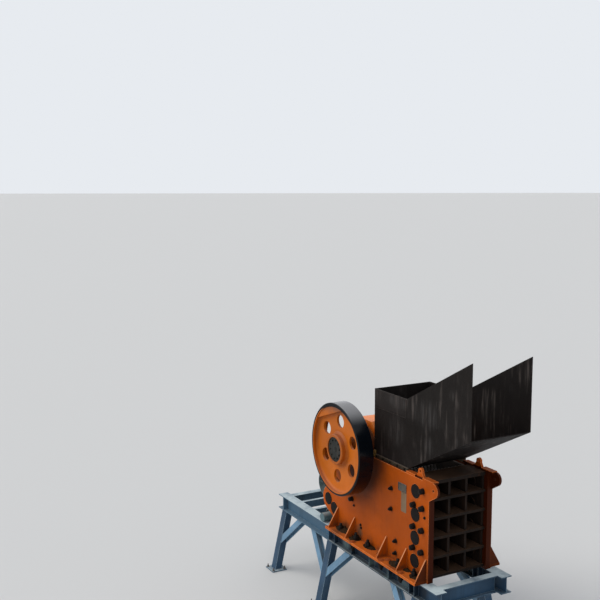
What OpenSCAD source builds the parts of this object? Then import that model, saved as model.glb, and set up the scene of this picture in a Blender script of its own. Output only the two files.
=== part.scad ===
// Single-toggle jaw crusher on a braced steel stand, with its feed chute and drive motor.
// +X points to the feed end, +Z up, and the flywheel is on the -Y side.
// Places are measured from the feed end of the crusher's feet, on its middle plane, at foot level.

/* [Crusher frame] */
// Width over the two side plates
frame_w = 1840; // [1600:10:2100]
// Thickness of a side plate
plate_t = 150; // [100:5:170]
// Height of the plates' flat top edge above the foot
plate_h = 2370; // [2300:10:2440]
// Height of the plates' upright front edge
front_edge_h = 1950; // [1800:10:2100]
// How far the plates stand forward of the foot
plate_nose = 50; // [20:5:90]
// Radius of the lug at the top front corner
ear_r = 165; // [130:5:190]
// Thickness of that lug, flush with its plate's outer face
ear_t = 60; // [40:5:90]
// Diameter of the hole in that lug
ear_hole_d = 60; // [30:5:90]
// Height of the bar across the top of a plate's front end
cap_bar_h = 55; // [35:5:70]
// Length of the foot flange
foot_len = 4050; // [3950:10:4150]
// Width of the foot flange outside its plate
foot_w = 325; // [280:5:380]
// Thickness of the foot flange
foot_t = 60; // [40:5:80]
// Height of the gussets on the foot flange
gusset_h = 560; // [400:10:700]
// Thickness of a gusset
gusset_t = 32; // [20:2:50]
// Diameter of the round spigots that key the castings into the plates
spigot_d = 330; // [280:5:340]
// How far a spigot's end stands out past the plate's face
spigot_proud = 15; // [5:5:40]
// Height of the lowest front spigot
spigot_z = 370; // [340:5:420]
// Spacing of the four front spigots
spigot_pitch = 557; // [520:1:570]
// Diameter of the holes for the foot bolts
foot_hole_d = 52; // [36:2:60]

/* [Crushing chamber] */
// Distance from the foot's front end to the top of the fixed jaw face
fixed_top_x = 840; // [800:10:880]
// Height of the foot of both jaw dies
die_z = 300; // [260:10:340]
// Drop from the plates' top edge to the top of the jaw dies
die_drop = 45; // [30:5:90]
// Lean of the fixed jaw die from upright, in degrees
fixed_lean = 4; // [3:0.5:5]
// Lean of the moving jaw die from upright, in degrees
moving_lean = 20; // [19:0.5:21]
// Closed side setting, the gap between the dies at their foot
css = 220; // [180:10:260]
// Thickness of a jaw die over its teeth
die_t = 160; // [130:5:180]
// Height of the teeth on a jaw die
tooth_h = 42; // [20:2:60]
// Spacing of the teeth
tooth_pitch = 102; // [80:2:130]
// Thickness of the cheek plates
cheek_t = 40; // [25:5:50]
// Side clearance of the moving jaw at the cheek plates
jaw_gap = 10; // [6:1:20]
// Thickness of the wall that backs each die
seat_wall = 130; // [100:5:150]
// Thickness of the ribs in the cast frames and the jaw
rib_t = 60; // [40:5:80]

/* [Eccentric shaft] */
// Distance from the foot's front end to the shaft
shaft_x = 2907; // [2880:1:2940]
// Height of the shaft above the foot
shaft_h = 2500; // [2480:10:2540]
// Diameter of the main journals
journal_d = 340; // [300:10:360]
// Throw of the eccentric part
throw = 20; // [12:1:24]
// Diameter of the eccentric part
ecc_d = 400; // [380:10:420]
// Diameter of the shaft in the wheels
wheel_seat_d = 300; // [260:10:320]
// Running clearance of the shaft in its housings, on radius
run_gap = 0.06; // [0.02:0.01:0.1]
// Outer diameter of a bearing housing's body
housing_d = 760; // [700:10:800]
// Diameter of a bearing housing's flange
housing_flange_d = 980; // [920:10:1040]
// How far a housing stands out of its plate
housing_out = 250; // [200:5:270]

/* [Flywheel and sheave] */
// Diameter of the flywheel and of the sheave
wheel_d = 2330; // [2260:10:2350]
// Width of the rims
rim_w = 410; // [380:5:430]
// Radial thickness of the flywheel's rim
rim_t = 80; // [60:5:110]
// Distance from a side plate to the back of a rim
wheel_gap = 315; // [300:5:330]
// Thickness of a wheel's web
web_t = 70; // [50:5:90]
// Depth of the web's face below the rim's face
web_sink = 115; // [90:5:140]
// Hub diameter
hub_d = 760; // [700:10:800]
// How far a hub stands out past its rim
hub_proud = 15; // [5:5:60]
// Diameter of the clamping ring in the hub's recess
cap_d = 620; // [560:10:640]
// Diameter of the six holes in a web
web_hole_d = 330; // [280:5:350]
// Radius of the circle of those holes
web_hole_r = 715; // [700:5:750]
// Angle of the first hole above the feed end, in degrees
web_hole_turn = 25; // [0:1:59]
// Distance from the shaft to the counterweight's straight edge
chord_r = 885; // [850:5:930]
// Direction of the counterweight above the feed end, in degrees
chord_turn = 110; // [0:1:359]
// Number of V-belts
belt_n = 6; // [4:1:8]
// Spacing of the belts
belt_pitch = 50; // [46:1:52]
// Width of a belt
belt_w = 26; // [20:1:28]
// Depth of a belt
belt_t = 22; // [18:1:26]
// Clearance of the belts in the turning sheave
belt_gap = 5; // [5:1:7]

/* [Feed chute] */
// Distance from the foot's front end to the chute's rear wall
chute_rear_x = 2340; // [2330:10:2400]
// Distance from the foot's front end to the fold of the side walls
chute_fold_x = 880; // [860:10:960]
// How far the chute reaches past the foot's front end
chute_reach = 1350; // [1000:10:1600]
// Slope of the chute floor and rims, in degrees
chute_slope = 28; // [20:1:32]
// Height of the upright chute walls
chute_h = 1630; // [1400:10:1800]
// Thickness of the chute plates
chute_t = 20; // [12:1:30]
// Distance from a side plate's outer face to a chute wall's outer face
chute_inset = 85; // [60:5:120]
// Height of the bearer bars under the chute walls
bearer_h = 80; // [60:5:100]
// Clearance of the rear wall's lower edge over the pitman's cover
chute_rear_gap = 240; // [150:10:350]

/* [Stand] */
// Height of the top of the main beams above the ground
stand_h = 2150; // [1800:10:2600]
// Distance from the foot's front end to the rear end of the main beams
beam_rear_x = 7070; // [6900:10:7300]
// How far the main beams reach past the foot's front end
beam_reach = 600; // [500:10:900]
// Depth of the main beams
beam_h = 410; // [360:10:450]
// Flange width of the main beams
beam_b = 300; // [260:10:320]
// Flange thickness of the main beams
beam_tf = 22; // [14:1:30]
// Web thickness of the main beams
beam_tw = 14; // [10:1:20]
// Distance from a side plate's outer face out to its beam's middle
beam_out = 20; // [0:5:40]
// Outward splay of the legs, in degrees
splay = 12.5; // [9:0.5:14]
// Width of a leg along the beam
leg_b = 250; // [200:10:280]
// Depth of a leg across the beam
leg_d = 200; // [180:10:240]
// Wall thickness of the legs
leg_t = 16; // [10:1:20]
// Flange thickness of the braces
brace_tf = 16; // [10:1:20]
// Web thickness of the braces
brace_tw = 12; // [8:1:16]
// Width and depth of a knee brace
brace_b = 180; // [140:10:180]
// Reach of a knee brace along the beam
brace_run = 850; // [700:10:950]
// Width of a square base plate
base_w = 460; // [420:10:520]
// Thickness of a base plate
base_t = 30; // [20:2:50]
// Spacing of the four anchor holes in a base plate
anchor_pitch = 360; // [340:10:380]
// Diameter of the anchor holes
anchor_d = 34; // [22:2:40]
// Diameter of the stop pipes behind the feet
stop_d = 240; // [200:10:300]

/* [Drive] */
// Distance from the foot's front end to the motor shaft
motor_x = 5800; // [5750:10:5900]
// Height of the motor shaft above its feet
motor_h = 400; // [380:10:420]
// Diameter of the motor's body over its fins
motor_d = 780; // [720:10:800]
// Length of the motor's finned body
motor_body_len = 1000; // [900:10:1050]
// Length of the fan cowl
cowl_len = 340; // [300:10:380]
// Spacing of the motor feet along the crusher
motor_foot_pitch = 686; // [640:2:700]
// Height of the slide rails under the motor
rail_h = 150; // [120:5:170]
// Diameter of the motor pulley
pulley_d = 520; // [480:10:560]
// Diameter of the motor shaft
motor_shaft_d = 110; // [90:5:120]

/* [Hidden] */
$fa = 6;
$fs = 12;

near = -1;
far = 1;
eps = 1;
// Gap left between parts that seat on each other
seat = 0.3;
half_w = frame_w / 2;
inner_w = frame_w - 2 * plate_t;
// Moves the whole machine so that its bounding box is centred over the origin, on the ground
place_x = (beam_rear_x - chute_reach) / 2;

// Side plate outline
gusset_x = [gusset_t / 2, 780, 1620, foot_len - 970, foot_len - 130];
gusset_inset = 25;
gusset_toe = 30;
gusset_top_w = 20;
foot_bolt_x = [330, 980, 1400, 2300, foot_len - 1200, foot_len - 450];
foot_bolt_y = half_w + 110;
ear_x = -200;
ear_z = plate_h - 135;
lobe_r = 550;
corner_x = 4430;
corner_z = 650;
corner_r = 295;
heel_h = 160;
front_spigot_x = 460;
low_spigot_x = 4120;
low_spigot_z = 474;
spigot_r = spigot_d / 2;
spigot_fit = 1;
eye_x = 360;
eye_h = 240;
eye_r = 75;
eye_t = 60;
eye_foot = 155;
eye_hole_d = 70;

// Jaw geometry
die_len = (plate_h - die_drop - die_z) / cos(fixed_lean);
fixed_foot_x = fixed_top_x + die_len * sin(fixed_lean);
moving_foot_x = fixed_foot_x + css;
moving_len = die_len * cos(fixed_lean) / cos(moving_lean);
die_w = inner_w - 2 * cheek_t - 2 * jaw_gap;
pitman_head_r = 600;
pitman_bore_r = ecc_d / 2 + throw + 6;
rear_face_x = corner_x - 480;
toe = [-moving_foot_x - 600, die_z + 30];
toggle_rear = [620 - rear_face_x, die_z + 550];
toggle_run = toe - toggle_rear;
toggle_len = norm(toggle_run);
toggle_tilt = atan2(-toggle_run[1], toggle_run[0]);
toggle_across = [sin(toggle_tilt), cos(toggle_tilt)];
toggle_end_r = 90;
toggle_t = 120;
toggle_w = 1060;
toe_block_half = 133;
seat_block_half = 140;
seat_block_up = 270;
seat_block_down = 150;
wedge_t = 150;
wedge_taper = 45;
wedge_len = 560;
wedge_h = 380;
wedge_split = 20;
wedge_z = toggle_rear[1] - 130;
frame_lift = 20;
frame_top_t = 80;
frame_rib_z = 60;
frame_rib_pitch = 458;
frame_rib_n = 5;
frame_upright_n = 4;
frame_rib_sink = 20;
frame_upright_sink = 80;

// Guard cover on the pitman's head, measured from the shaft
cover_t = 25;
cover_rise = pitman_head_r + 45;
cover_back = 353;
cover_fold = 227;
cover_foot = [827, 120];
cover_run = cover_foot - [cover_fold, cover_rise];
cover_across = [-cover_run[1], cover_run[0]] / norm(cover_run);

// Tension rods
rod_y = 620;
rod_z = toe[1] - 235;
rod_d = 60;
rod_pin_x = -toe[0] - 180;
rod_pin_d = 50;
rod_hole_gap = 3;
lug_r = 75;
lug_t = 40;
lug_y = 60;
rod_end_x = corner_x + 530;
spring_x = corner_x + 130;
spring_len = 320;
spring_d = 170;
spring_wire = 34;
spring_turns = 6;
spring_close = spring_wire + 2;
spring_grind = 4;
spring_rise = spring_len - spring_wire + 2 * spring_grind;
spring_seat_t = 60;
spring_cap_t = 30;
rod_nut_d = 96;
rod_nut_h = 50;

// Rotor stations along Y, on the near side
rim_back = half_w + wheel_gap;
rim_face = rim_back + rim_w;
hub_back = half_w + housing_out + 10;
hub_face = rim_face + hub_proud;
ring_t = 30;
ring_sink = 20;
ring_gap = 2;
rim_edge = 12;
wheel_bore_gap = 0.1;
shaft_end = hub_face - ring_sink - ring_t - seat;
wheel_r = wheel_d / 2;
rim_in_r = wheel_r - rim_t;
web_face = rim_face - web_sink;
housing_flange_t = 60;
housing_step = 170;
groove_d = belt_t + 2 * belt_gap;
groove_w = belt_w + 2 * belt_gap;
groove_flare = 3;
belt_y = rim_back + rim_w / 2;
sheave_belt_r = wheel_r - groove_d + belt_gap;
pulley_belt_r = pulley_d / 2 - belt_t;

// Chute
bearer_top = plate_h + bearer_h;
wall_y = half_w - chute_inset;
chute_top = bearer_top + chute_h;
rim_fold_x = chute_fold_x + 110;
chute_inner_w = 2 * (wall_y - chute_t - seat);
cover_drop = (shaft_x - chute_rear_x - cover_fold) * cover_run[1] / cover_run[0];
chute_rear_z = shaft_h + cover_rise + cover_drop + chute_rear_gap;
bearer_w = 100;
bearer_out = 30;
bearer_tab = 90;
floor_end_gap = 40;

// Stand
beam_y = half_w + beam_out;
leg_x = [beam_rear_x - 290, foot_len + 100, 250];
cross_x = [beam_rear_x - 290, foot_len + 500, 250 - beam_reach];
cross_b = 200;
cross_len = 2 * beam_y - beam_b - 2 * seat;
stiffener_t = 14;
stiffener_inset = 8;
stiffener_x = [for (i = [0 : 4]) leg_x[2] + 200 + i * (foot_len - leg_x[2] - 400) / 4];
beyond = 2 * beam_rear_x;
stop_x = foot_len + 445;
stop_len = 280;
motor_rail_w = 100;
motor_rail_d = 200;
motor_rail_over = 60;
motor_z = rail_h + motor_h;
pulley_w = rim_w - 60;
motor_nose = 90;
motor_nose_r = motor_d / 2 - 30;
cowl_r = motor_d / 2 - 10;
motor_front = belt_y - pulley_w / 2 - 60;
motor_body_y = motor_front - motor_nose - motor_body_len;
motor_foot_w = 140;
motor_foot_t = 45;
motor_foot_inset = 40;
motor_bracket = [motor_foot_w, 70, motor_h * 0.75];
terminal_box = [380, 360, 200];
fin_n = 44;
fin_depth = 38;

function ring(c, r, a0, a1, n) = [
    for (i = [0 : n]) let (a = a0 + (a1 - a0) * i / n) c + r * [cos(a), sin(a)]];
// Angle at which the line that touches two circles on their left meets them
function touch(c1, r1, c2, r2) = let (d = c2 - c1) atan2(d[1], d[0]) + acos((r1 - r2) / norm(d));
// Outline of a belt that lies at radius r1 round c1 and r2 round c2, its flats outside those radii
function belt_line(c1, r1, n1, c2, r2, n2) =
    let (a = touch(c1, r1, c2, r2), b = atan2(c2[1] - c1[1], c2[0] - c1[0]), half = a - b)
    concat(
        ring(c1, r1 / cos((180 - half) / n1), a, a + 2 * (180 - half), n1),
        ring(c2, r2 / cos(half / n2), b - half, b + half, n2)
    );

module placed() { translate([place_x, 0, stand_h]) children(); }
module on_side(side) {
    if (side == near) children();
    else mirror([0, 1, 0]) children();
}
// A flat shape drawn in X and Z, standing between y and y + t
module slab(y, t) { translate([0, y + t, 0]) rotate([90, 0, 0]) linear_extrude(t) children(); }
module across(x, z, r, y, len) { translate([x, y + len, z]) rotate([90, 0, 0]) cylinder(r = r, h = len); }
// A profile of radius against distance outward, turned about the shaft's line on the near side
module turned(x, z) { translate([x, 0, z]) rotate([90, 0, 0]) rotate_extrude() children(); }
module h_profile(h, b, tf, tw) {
    for (s = [-1, 1]) translate([0, s * (h - tf) / 2]) square([b, tf], center = true);
    square([tw, h - tf], center = true);
}
module h_post(h, b, tf, tw, len) { linear_extrude(len) h_profile(h, b, tf, tw); }

// Side plates, with the foot flange, gussets, lug and lifting eye
module plate_outline() {
    lobe = [-shaft_x, shaft_h];
    corner = [-corner_x, corner_z];
    a = touch(corner, corner_r, lobe, lobe_r);
    polygon(concat(
        [[plate_nose, 0], [plate_nose, plate_h]],
        ring(lobe, lobe_r, -asin((shaft_h - plate_h) / lobe_r), a, 18),
        ring(corner, corner_r, a, 252, 12),
        [[-foot_len, heel_h], [-foot_len, 0]]
    ));
}
module ear_outline() {
    polygon(concat(
        [[0, plate_h - ear_r], [0, front_edge_h], [plate_nose, front_edge_h]],
        ring([-ear_x, ear_z], ear_r, -62, 88, 14),
        [[-90, plate_h], [-90, plate_h - ear_r]]
    ));
}
module spigots(r, y, len) {
    for (i = [0 : 3]) across(-front_spigot_x, spigot_z + i * spigot_pitch, r, y, len);
}
module rear_spigots(r, y, len) {
    across(-corner_x, corner_z, r, y, len);
    across(-low_spigot_x, low_spigot_z, r, y, len);
}
module gusset() {
    rotate([90, 0, 90]) linear_extrude(gusset_t, center = true)
        polygon([[eps, foot_t - eps], [gusset_inset - foot_w, foot_t - eps],
            [gusset_inset - foot_w, foot_t + gusset_toe], [-gusset_top_w, gusset_h], [eps, gusset_h]]);
}
module lifting_eye() {
    difference() {
        slab(-half_w + (plate_t - eye_t) / 2, eye_t) union() {
            polygon([[-eye_x - eye_foot, plate_h - eps], [-eye_x + eye_foot, plate_h - eps],
                [-eye_x + eye_r * 0.8, plate_h + eye_h - eye_r],
                [-eye_x - eye_r * 0.8, plate_h + eye_h - eye_r]]);
            translate([-eye_x, plate_h + eye_h - eye_r]) circle(eye_r);
        }
        across(-eye_x, plate_h + eye_h - eye_r, eye_hole_d / 2, -half_w - eps, plate_t + 2 * eps);
    }
}
module side_plate(side) {
    color("darkorange") placed() on_side(side) difference() {
        union() {
            slab(-half_w, plate_t) plate_outline();
            slab(-half_w, ear_t) ear_outline();
            translate([-eye_x + eye_foot, -half_w, plate_h - eps])
                cube([eye_x - eye_foot - ear_x, plate_t, cap_bar_h + eps]);
            translate([-foot_len, -half_w - foot_w, 0]) cube([foot_len, foot_w + eps, foot_t]);
            for (x = gusset_x) translate([-x, -half_w, 0]) gusset();
            lifting_eye();
        }
        spigots(spigot_r, -half_w - eps, plate_t + 2 * eps);
        rear_spigots(spigot_r, -half_w - eps, plate_t + 2 * eps);
        across(-shaft_x, shaft_h, housing_d / 2 + seat, -half_w - eps, plate_t + 2 * eps);
        across(-ear_x, ear_z, ear_hole_d / 2, -half_w - eps, plate_t + 2 * eps);
        for (x = foot_bolt_x) translate([-x, -foot_bolt_y, -eps])
            cylinder(d = foot_hole_d, h = foot_t + 2 * eps);
    }
}

// Cast front frame: the wall behind the fixed die, its grid of ribs and the spigots
module front_frame() {
    wall_foot_x = fixed_foot_x - (die_t + seat) / cos(fixed_lean);
    cast_w = inner_w - 2 * seat;
    top_z = plate_h - frame_top_t;
    function wall_x(z) = -wall_foot_x + (z - die_z) * tan(fixed_lean);
    rib_x = -wall_foot_x + seat_wall / 2;
    color("saddlebrown") placed() union() {
        intersection() {
            union() {
                slab(-cast_w / 2, cast_w)
                    polygon([[wall_x(0), 0], [wall_x(0) + seat_wall, 0],
                        [wall_x(plate_h) + seat_wall, plate_h],
                        [wall_x(plate_h), plate_h]]);
                for (i = [0 : frame_rib_n - 1])
                    translate([rib_x, -cast_w / 2, frame_rib_z + i * frame_rib_pitch])
                    cube([-rib_x - frame_rib_sink, cast_w, rib_t]);
                for (i = [0 : frame_upright_n - 1])
                    translate([rib_x, -cast_w / 2 + i * (cast_w - rib_t) / (frame_upright_n - 1),
                        frame_rib_z])
                    cube([-rib_x - frame_upright_sink, rib_t, top_z - frame_rib_z + eps]);
            }
            slab(-inner_w / 2, inner_w)
                polygon([[wall_x(frame_lift), frame_lift], [0, frame_lift],
                    [0, top_z], [wall_x(top_z), top_z]]);
        }
        translate([wall_x(plate_h) + 2 * eps, -cast_w / 2, top_z - eps])
            cube([-wall_x(plate_h) - 2 * frame_rib_sink, cast_w, frame_top_t + eps]);
        for (s = [near, far]) on_side(s)
            spigots(spigot_r - spigot_fit, -half_w - spigot_proud, plate_t + spigot_proud + 1.5 * rib_t);
    }
}

// Cast rear frame, open behind between its ribs, with the lugs that hold the springs
module rear_frame() {
    c = [-corner_x, corner_z];
    cell_w = (inner_w - rib_t) / 4;
    cell_z = corner_z - 90;
    top_z = corner_z + 530;
    depth = corner_x - rear_face_x;
    color("saddlebrown") placed() difference() {
        union() {
            slab(-inner_w / 2 + seat, inner_w - 2 * seat)
                polygon([c + [depth, -230], c + [depth - 180, -370], c + [0, -250], c + [-190, -50],
                    c + [-130, 350], [-corner_x - 30, top_z], [-rear_face_x, top_z]]);
            for (s = [near, far]) on_side(s) {
                rear_spigots(spigot_r - spigot_fit, -half_w - spigot_proud, plate_t + spigot_proud + rib_t);
                translate([-spring_x, -rod_y - 110, rod_z - 90])
                    cube([spring_seat_t, 220, corner_z - rod_z + 40]);
            }
        }
        for (i = [0 : 3]) translate([-corner_x - depth, -inner_w / 2 + rib_t + i * cell_w, cell_z])
            cube([2 * depth - seat_wall, cell_w - rib_t, top_z - cell_z - rib_t]);
        for (s = [near, far]) translate([-spring_x - eps, s * rod_y, rod_z]) rotate([0, 90, 0])
            cylinder(d = rod_d + 2 * rod_hole_gap, h = spring_seat_t + 2 * eps);
    }
}

// Corrugated section of a jaw die: face at x = 0, body to x = die_t
module die_section(phase) {
    n = floor(die_w / tooth_pitch);
    edge = (die_w - n * tooth_pitch) / 2;
    top = tooth_pitch * 0.28;
    slope = (tooth_pitch - 2 * top) / 2;
    polygon(concat(
        [[die_t, -die_w / 2], [phase * tooth_h, -die_w / 2]],
        [for (i = [0 : n - 1])
            let (y = -die_w / 2 + edge + i * tooth_pitch, a = phase * tooth_h, b = tooth_h - a)
            each [[a, y + top / 2], [b, y + top / 2 + slope], [b, y + 1.5 * top + slope],
                [a, y + tooth_pitch - top / 2]]],
        [[phase * tooth_h, die_w / 2], [die_t, die_w / 2]]
    ));
}
module fixed_jaw_die() {
    color("dimgray") placed() translate([-fixed_foot_x, 0, die_z]) rotate([0, fixed_lean, 0])
        linear_extrude(die_len) die_section(0);
}
module moving_jaw_die() {
    color("dimgray") placed()
        translate([-moving_foot_x, 0, die_z]) rotate([0, -moving_lean, 0]) mirror([1, 0, 0])
        linear_extrude(moving_len) die_section(1);
}
module cheek_plates(side) {
    top_z = die_z + die_len * cos(fixed_lean);
    mid_z = (die_z + top_z) / 2;
    split = 8;
    function front_x(z) = -fixed_foot_x + die_t - 5 + (z - die_z) * tan(fixed_lean);
    function back_x(z) = -moving_foot_x - (z - die_z) * tan(moving_lean) - die_t;
    color("gray") placed() on_side(side) slab(-inner_w / 2 + seat, cheek_t - seat) {
        polygon([[front_x(die_z), die_z], [front_x(mid_z - split), mid_z - split],
            [back_x(mid_z - split), mid_z - split], [back_x(die_z), die_z]]);
        polygon([[front_x(mid_z), mid_z], [front_x(top_z), top_z],
            [back_x(top_z), top_z], [back_x(mid_z), mid_z]]);
    }
}

// Swing jaw casting: bored head, front wall behind the die, ribs and the toe with the toggle seat
module pitman_rib() {
    head = [-shaft_x, shaft_h];
    waist = head + 0.55 * (toe - head) - [120, 0];
    mid_wall = (die_t + seat + seat_wall / 2) / cos(moving_lean);
    function wall_point(z) = [-moving_foot_x - (z - die_z) * tan(moving_lean) - mid_wall, z];
    polygon(concat(
        ring(head, pitman_head_r - 5, 65, 232, 16),
        [waist, toe + [-50, 150], toe + [100, -80], wall_point(toe[1] - 100), wall_point(shaft_h - 350),
            wall_point(shaft_h - 170)]
    ));
}
module pitman() {
    w = die_w;
    color("darkorange") placed() difference() {
        union() {
            across(-shaft_x, shaft_h, pitman_head_r, -w / 2, w);
            translate([-moving_foot_x, -w / 2, die_z]) rotate([0, -moving_lean, 0])
                translate([-die_t - seat - seat_wall, 0, -40]) cube([seat_wall, w, moving_len + 80]);
            for (i = [0 : 3]) slab(-w / 2 + i * (w - rib_t) / 3, rib_t) pitman_rib();
            slab(-w / 2, w) polygon([
                toe + [360, -150], toe + [100, -210], toe - toe_block_half * toggle_across,
                toe + toe_block_half * toggle_across, toe + [240, 230]]);
            for (s = [near, far]) for (d = [-1, 1]) slab(s * rod_y + d * lug_y - lug_t / 2, lug_t) union() {
                translate([-rod_pin_x, rod_z]) circle(lug_r);
                translate([-rod_pin_x - lug_r, rod_z]) square([2 * lug_r, 2 * lug_r]);
            }
        }
        across(-shaft_x, shaft_h, pitman_bore_r, -w / 2 - eps, w + 2 * eps);
        across(toe[0], toe[1], toggle_end_r, -w / 2 - eps, w + 2 * eps);
        for (s = [near, far]) across(-rod_pin_x, rod_z, rod_pin_d / 2 + seat, s * rod_y - 100, 200);
        for (s = [near, far]) translate([-rod_pin_x - 110, s * rod_y - lug_y + lug_t / 2 - seat, rod_z - 90])
            cube([220, 2 * lug_y - lug_t + 2 * seat, 190]);
    }
}
// Bent guard plate on the head, under the chute's rear wall, and the brackets that carry it
module pitman_cover() {
    fold = [cover_fold, cover_rise];
    inner_foot = cover_foot - cover_t * cover_across;
    inner_fold = fold - cover_t * [tan(acos(cover_across[1]) / 2), 1];
    color("darkorange") placed() translate([-shaft_x, 0, shaft_h]) {
        slab(-die_w / 2, die_w)
            polygon([
                [-cover_back, cover_rise - cover_t], [-cover_back, cover_rise], fold, cover_foot, inner_foot,
                inner_fold]);
        for (i = [0 : 3]) slab(-die_w / 2 + i * (die_w - rib_t) / 3, rib_t) difference() {
            polygon([[60 - cover_back, inner_fold[1] + eps], [inner_fold[0], inner_fold[1] + eps],
                0.7 * inner_foot + 0.3 * inner_fold + eps * cover_across, [cover_fold + 300, cover_foot[1]],
                [0, 0]]);
            circle(pitman_head_r + seat);
        }
    }
}

// Toggle plate between its two round seats, the rear seat block and the wedges that set the gap
module toggle_plate() {
    r = toggle_end_r - seat;
    color("slategray") placed() translate([toe[0], 0, toe[1]]) rotate([0, toggle_tilt, 0]) union() {
        for (x = [0, -toggle_len]) across(x, 0, r, -toggle_w / 2, toggle_w);
        translate([-toggle_len, -toggle_w / 2, -toggle_t / 2]) cube([toggle_len, toggle_w, toggle_t]);
    }
}
module toggle_seat() {
    back_x = rear_face_x - wedge_t - seat;
    w = toggle_w + 120;
    color("slategray") placed() slab(-w / 2, w) difference() {
        polygon([toggle_rear - seat_block_half * toggle_across, toggle_rear + seat_block_half * toggle_across,
            [-back_x, toggle_rear[1] + seat_block_up], [-back_x, toggle_rear[1] - seat_block_down]]);
        translate(toggle_rear) circle(toggle_end_r);
    }
}
module adjusting_wedges() {
    thin = (wedge_t - wedge_taper) / 2;
    thick = (wedge_t + wedge_taper) / 2;
    color("slategray") placed() for (s = [near, far]) on_side(s)
        translate([-rear_face_x + seat, -wedge_split - wedge_len, wedge_z]) linear_extrude(wedge_h) {
            polygon([[0, 0], [thick, 0], [thin, wedge_len], [0, wedge_len]]);
            polygon([[thick + seat, 0], [wedge_t - 2 * seat, 0], [wedge_t - 2 * seat, wedge_len],
                [thin + seat, wedge_len]]);
        }
}
module tension_rods() {
    color("slategray") placed() for (s = [near, far]) translate([0, s * rod_y, rod_z]) {
        across(-rod_pin_x, 0, lug_r - 5, lug_t / 2 - lug_y + 5, 2 * lug_y - lug_t - 10);
        across(-rod_pin_x, 0, rod_pin_d / 2, -lug_y - 35, 2 * lug_y + 70);
        translate([-rod_end_x, 0, 0]) rotate([0, 90, 0])
            cylinder(d = rod_d, h = rod_end_x - rod_pin_x - lug_r + 20);
        translate([-spring_x - spring_len - spring_cap_t - seat, 0, 0]) rotate([0, 90, 0])
            cylinder(d = spring_d + 20, h = spring_cap_t);
        translate([-spring_x - spring_len - spring_cap_t - rod_nut_h - seat, 0, 0]) rotate([0, 90, 0])
            cylinder(d = rod_nut_d, h = rod_nut_h + eps, $fn = 6);
    }
}
// Round wire along a helix, its first and last turns closed up and ground flat
function coil_z(turn) =
    turn < 1 ? turn * spring_close
        : turn > spring_turns - 1 ? spring_rise - (spring_turns - turn) * spring_close
        : spring_close + (turn - 1) * (spring_rise - 2 * spring_close) / (spring_turns - 2);
module coil() {
    steps = 20;
    sides = 8;
    last = steps * spring_turns;
    points = [for (i = [0 : last]) for (k = [0 : sides - 1])
        let (a = 360 * i / steps, b = 360 * k / sides,
            q = (spring_d - spring_wire + spring_wire * cos(b)) / 2)
        [q * cos(a), q * sin(a), coil_z(i / steps) + spring_wire / 2 * sin(b)]];
    faces = concat(
        [[for (k = [0 : sides - 1]) k]],
        [for (i = [0 : last - 1]) for (k = [0 : sides - 1])
            let (a = i * sides + k, b = i * sides + (k + 1) % sides)
            each [[a, b + sides, b], [a, a + sides, b + sides]]],
        [[for (k = [0 : sides - 1]) (last + 1) * sides - 1 - k]]
    );
    polyhedron(points, faces);
}
module tension_springs() {
    color("firebrick") placed() for (s = [near, far])
        translate([-spring_x - spring_len, s * rod_y, rod_z]) rotate([0, 90, 0]) intersection() {
            translate([0, 0, spring_wire / 2 - spring_grind]) coil();
            cylinder(d = 2 * spring_d, h = spring_len - seat);
        }
}

// Bearing housings, seated in the plates' bores
module bearing_housing(side) {
    color("darkorange") placed() on_side(side) turned(-shaft_x, shaft_h)
        polygon([[journal_d / 2 + run_gap, half_w - plate_t], [housing_d / 2, half_w - plate_t],
            [housing_d / 2, half_w + seat], [housing_flange_d / 2, half_w + seat],
            [housing_flange_d / 2, half_w + housing_flange_t],
            [housing_d / 2 + 20, half_w + housing_flange_t + 15], [housing_d / 2 - 10, half_w + housing_step],
            [housing_d / 2 - 50, half_w + housing_step + 5], [housing_d / 2 - 50, half_w + housing_out],
            [journal_d / 2 + run_gap, half_w + housing_out]]);
}
module eccentric_shaft() {
    color("slategray") placed() translate([-shaft_x, 0, shaft_h]) rotate([90, 0, 0]) union() {
        translate([0, 0, -hub_back + 2]) cylinder(d = journal_d, h = 2 * hub_back - 4);
        translate([0, 0, -shaft_end]) cylinder(d = wheel_seat_d, h = 2 * shaft_end);
        translate([-throw * cos(chord_turn), -throw * sin(chord_turn), -die_w / 2 - 20])
            cylinder(d = ecc_d, h = die_w + 40);
    }
}

// Flywheel: rim, dished web with six holes, hub and the counterweight segment
module wheel_profile(grooves) {
    bore = wheel_seat_d / 2 + wheel_bore_gap;
    hub = hub_d / 2;
    polygon(concat(
        [[bore, hub_back], [hub - 20, hub_back], [hub + 30, web_face - web_t - 10],
            [rim_in_r - 40, web_face - web_t], [rim_in_r, web_face - web_t - 50], [rim_in_r, rim_back],
            [wheel_r - rim_edge, rim_back], [wheel_r, rim_back + rim_edge]],
        grooves ? [for (i = [0 : belt_n - 1]) let (y = belt_y + (i - (belt_n - 1) / 2) * belt_pitch)
            each [[wheel_r, y - groove_w / 2 - groove_flare], [wheel_r - groove_d, y - groove_w / 2],
                [wheel_r - groove_d, y + groove_w / 2], [wheel_r, y + groove_w / 2 + groove_flare]]] : [],
        [[wheel_r, rim_face - rim_edge], [wheel_r - rim_edge, rim_face], [rim_in_r, rim_face],
            [rim_in_r, web_face + 40], [rim_in_r - 60, web_face],
            [hub + 60, web_face - 25], [hub, web_face + 20],
            [hub, hub_face - 15], [hub - 15, hub_face], [cap_d / 2 + ring_gap, hub_face],
            [cap_d / 2 + ring_gap, hub_face - ring_sink - ring_t], [bore, hub_face - ring_sink - ring_t]]
    ));
}
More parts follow.
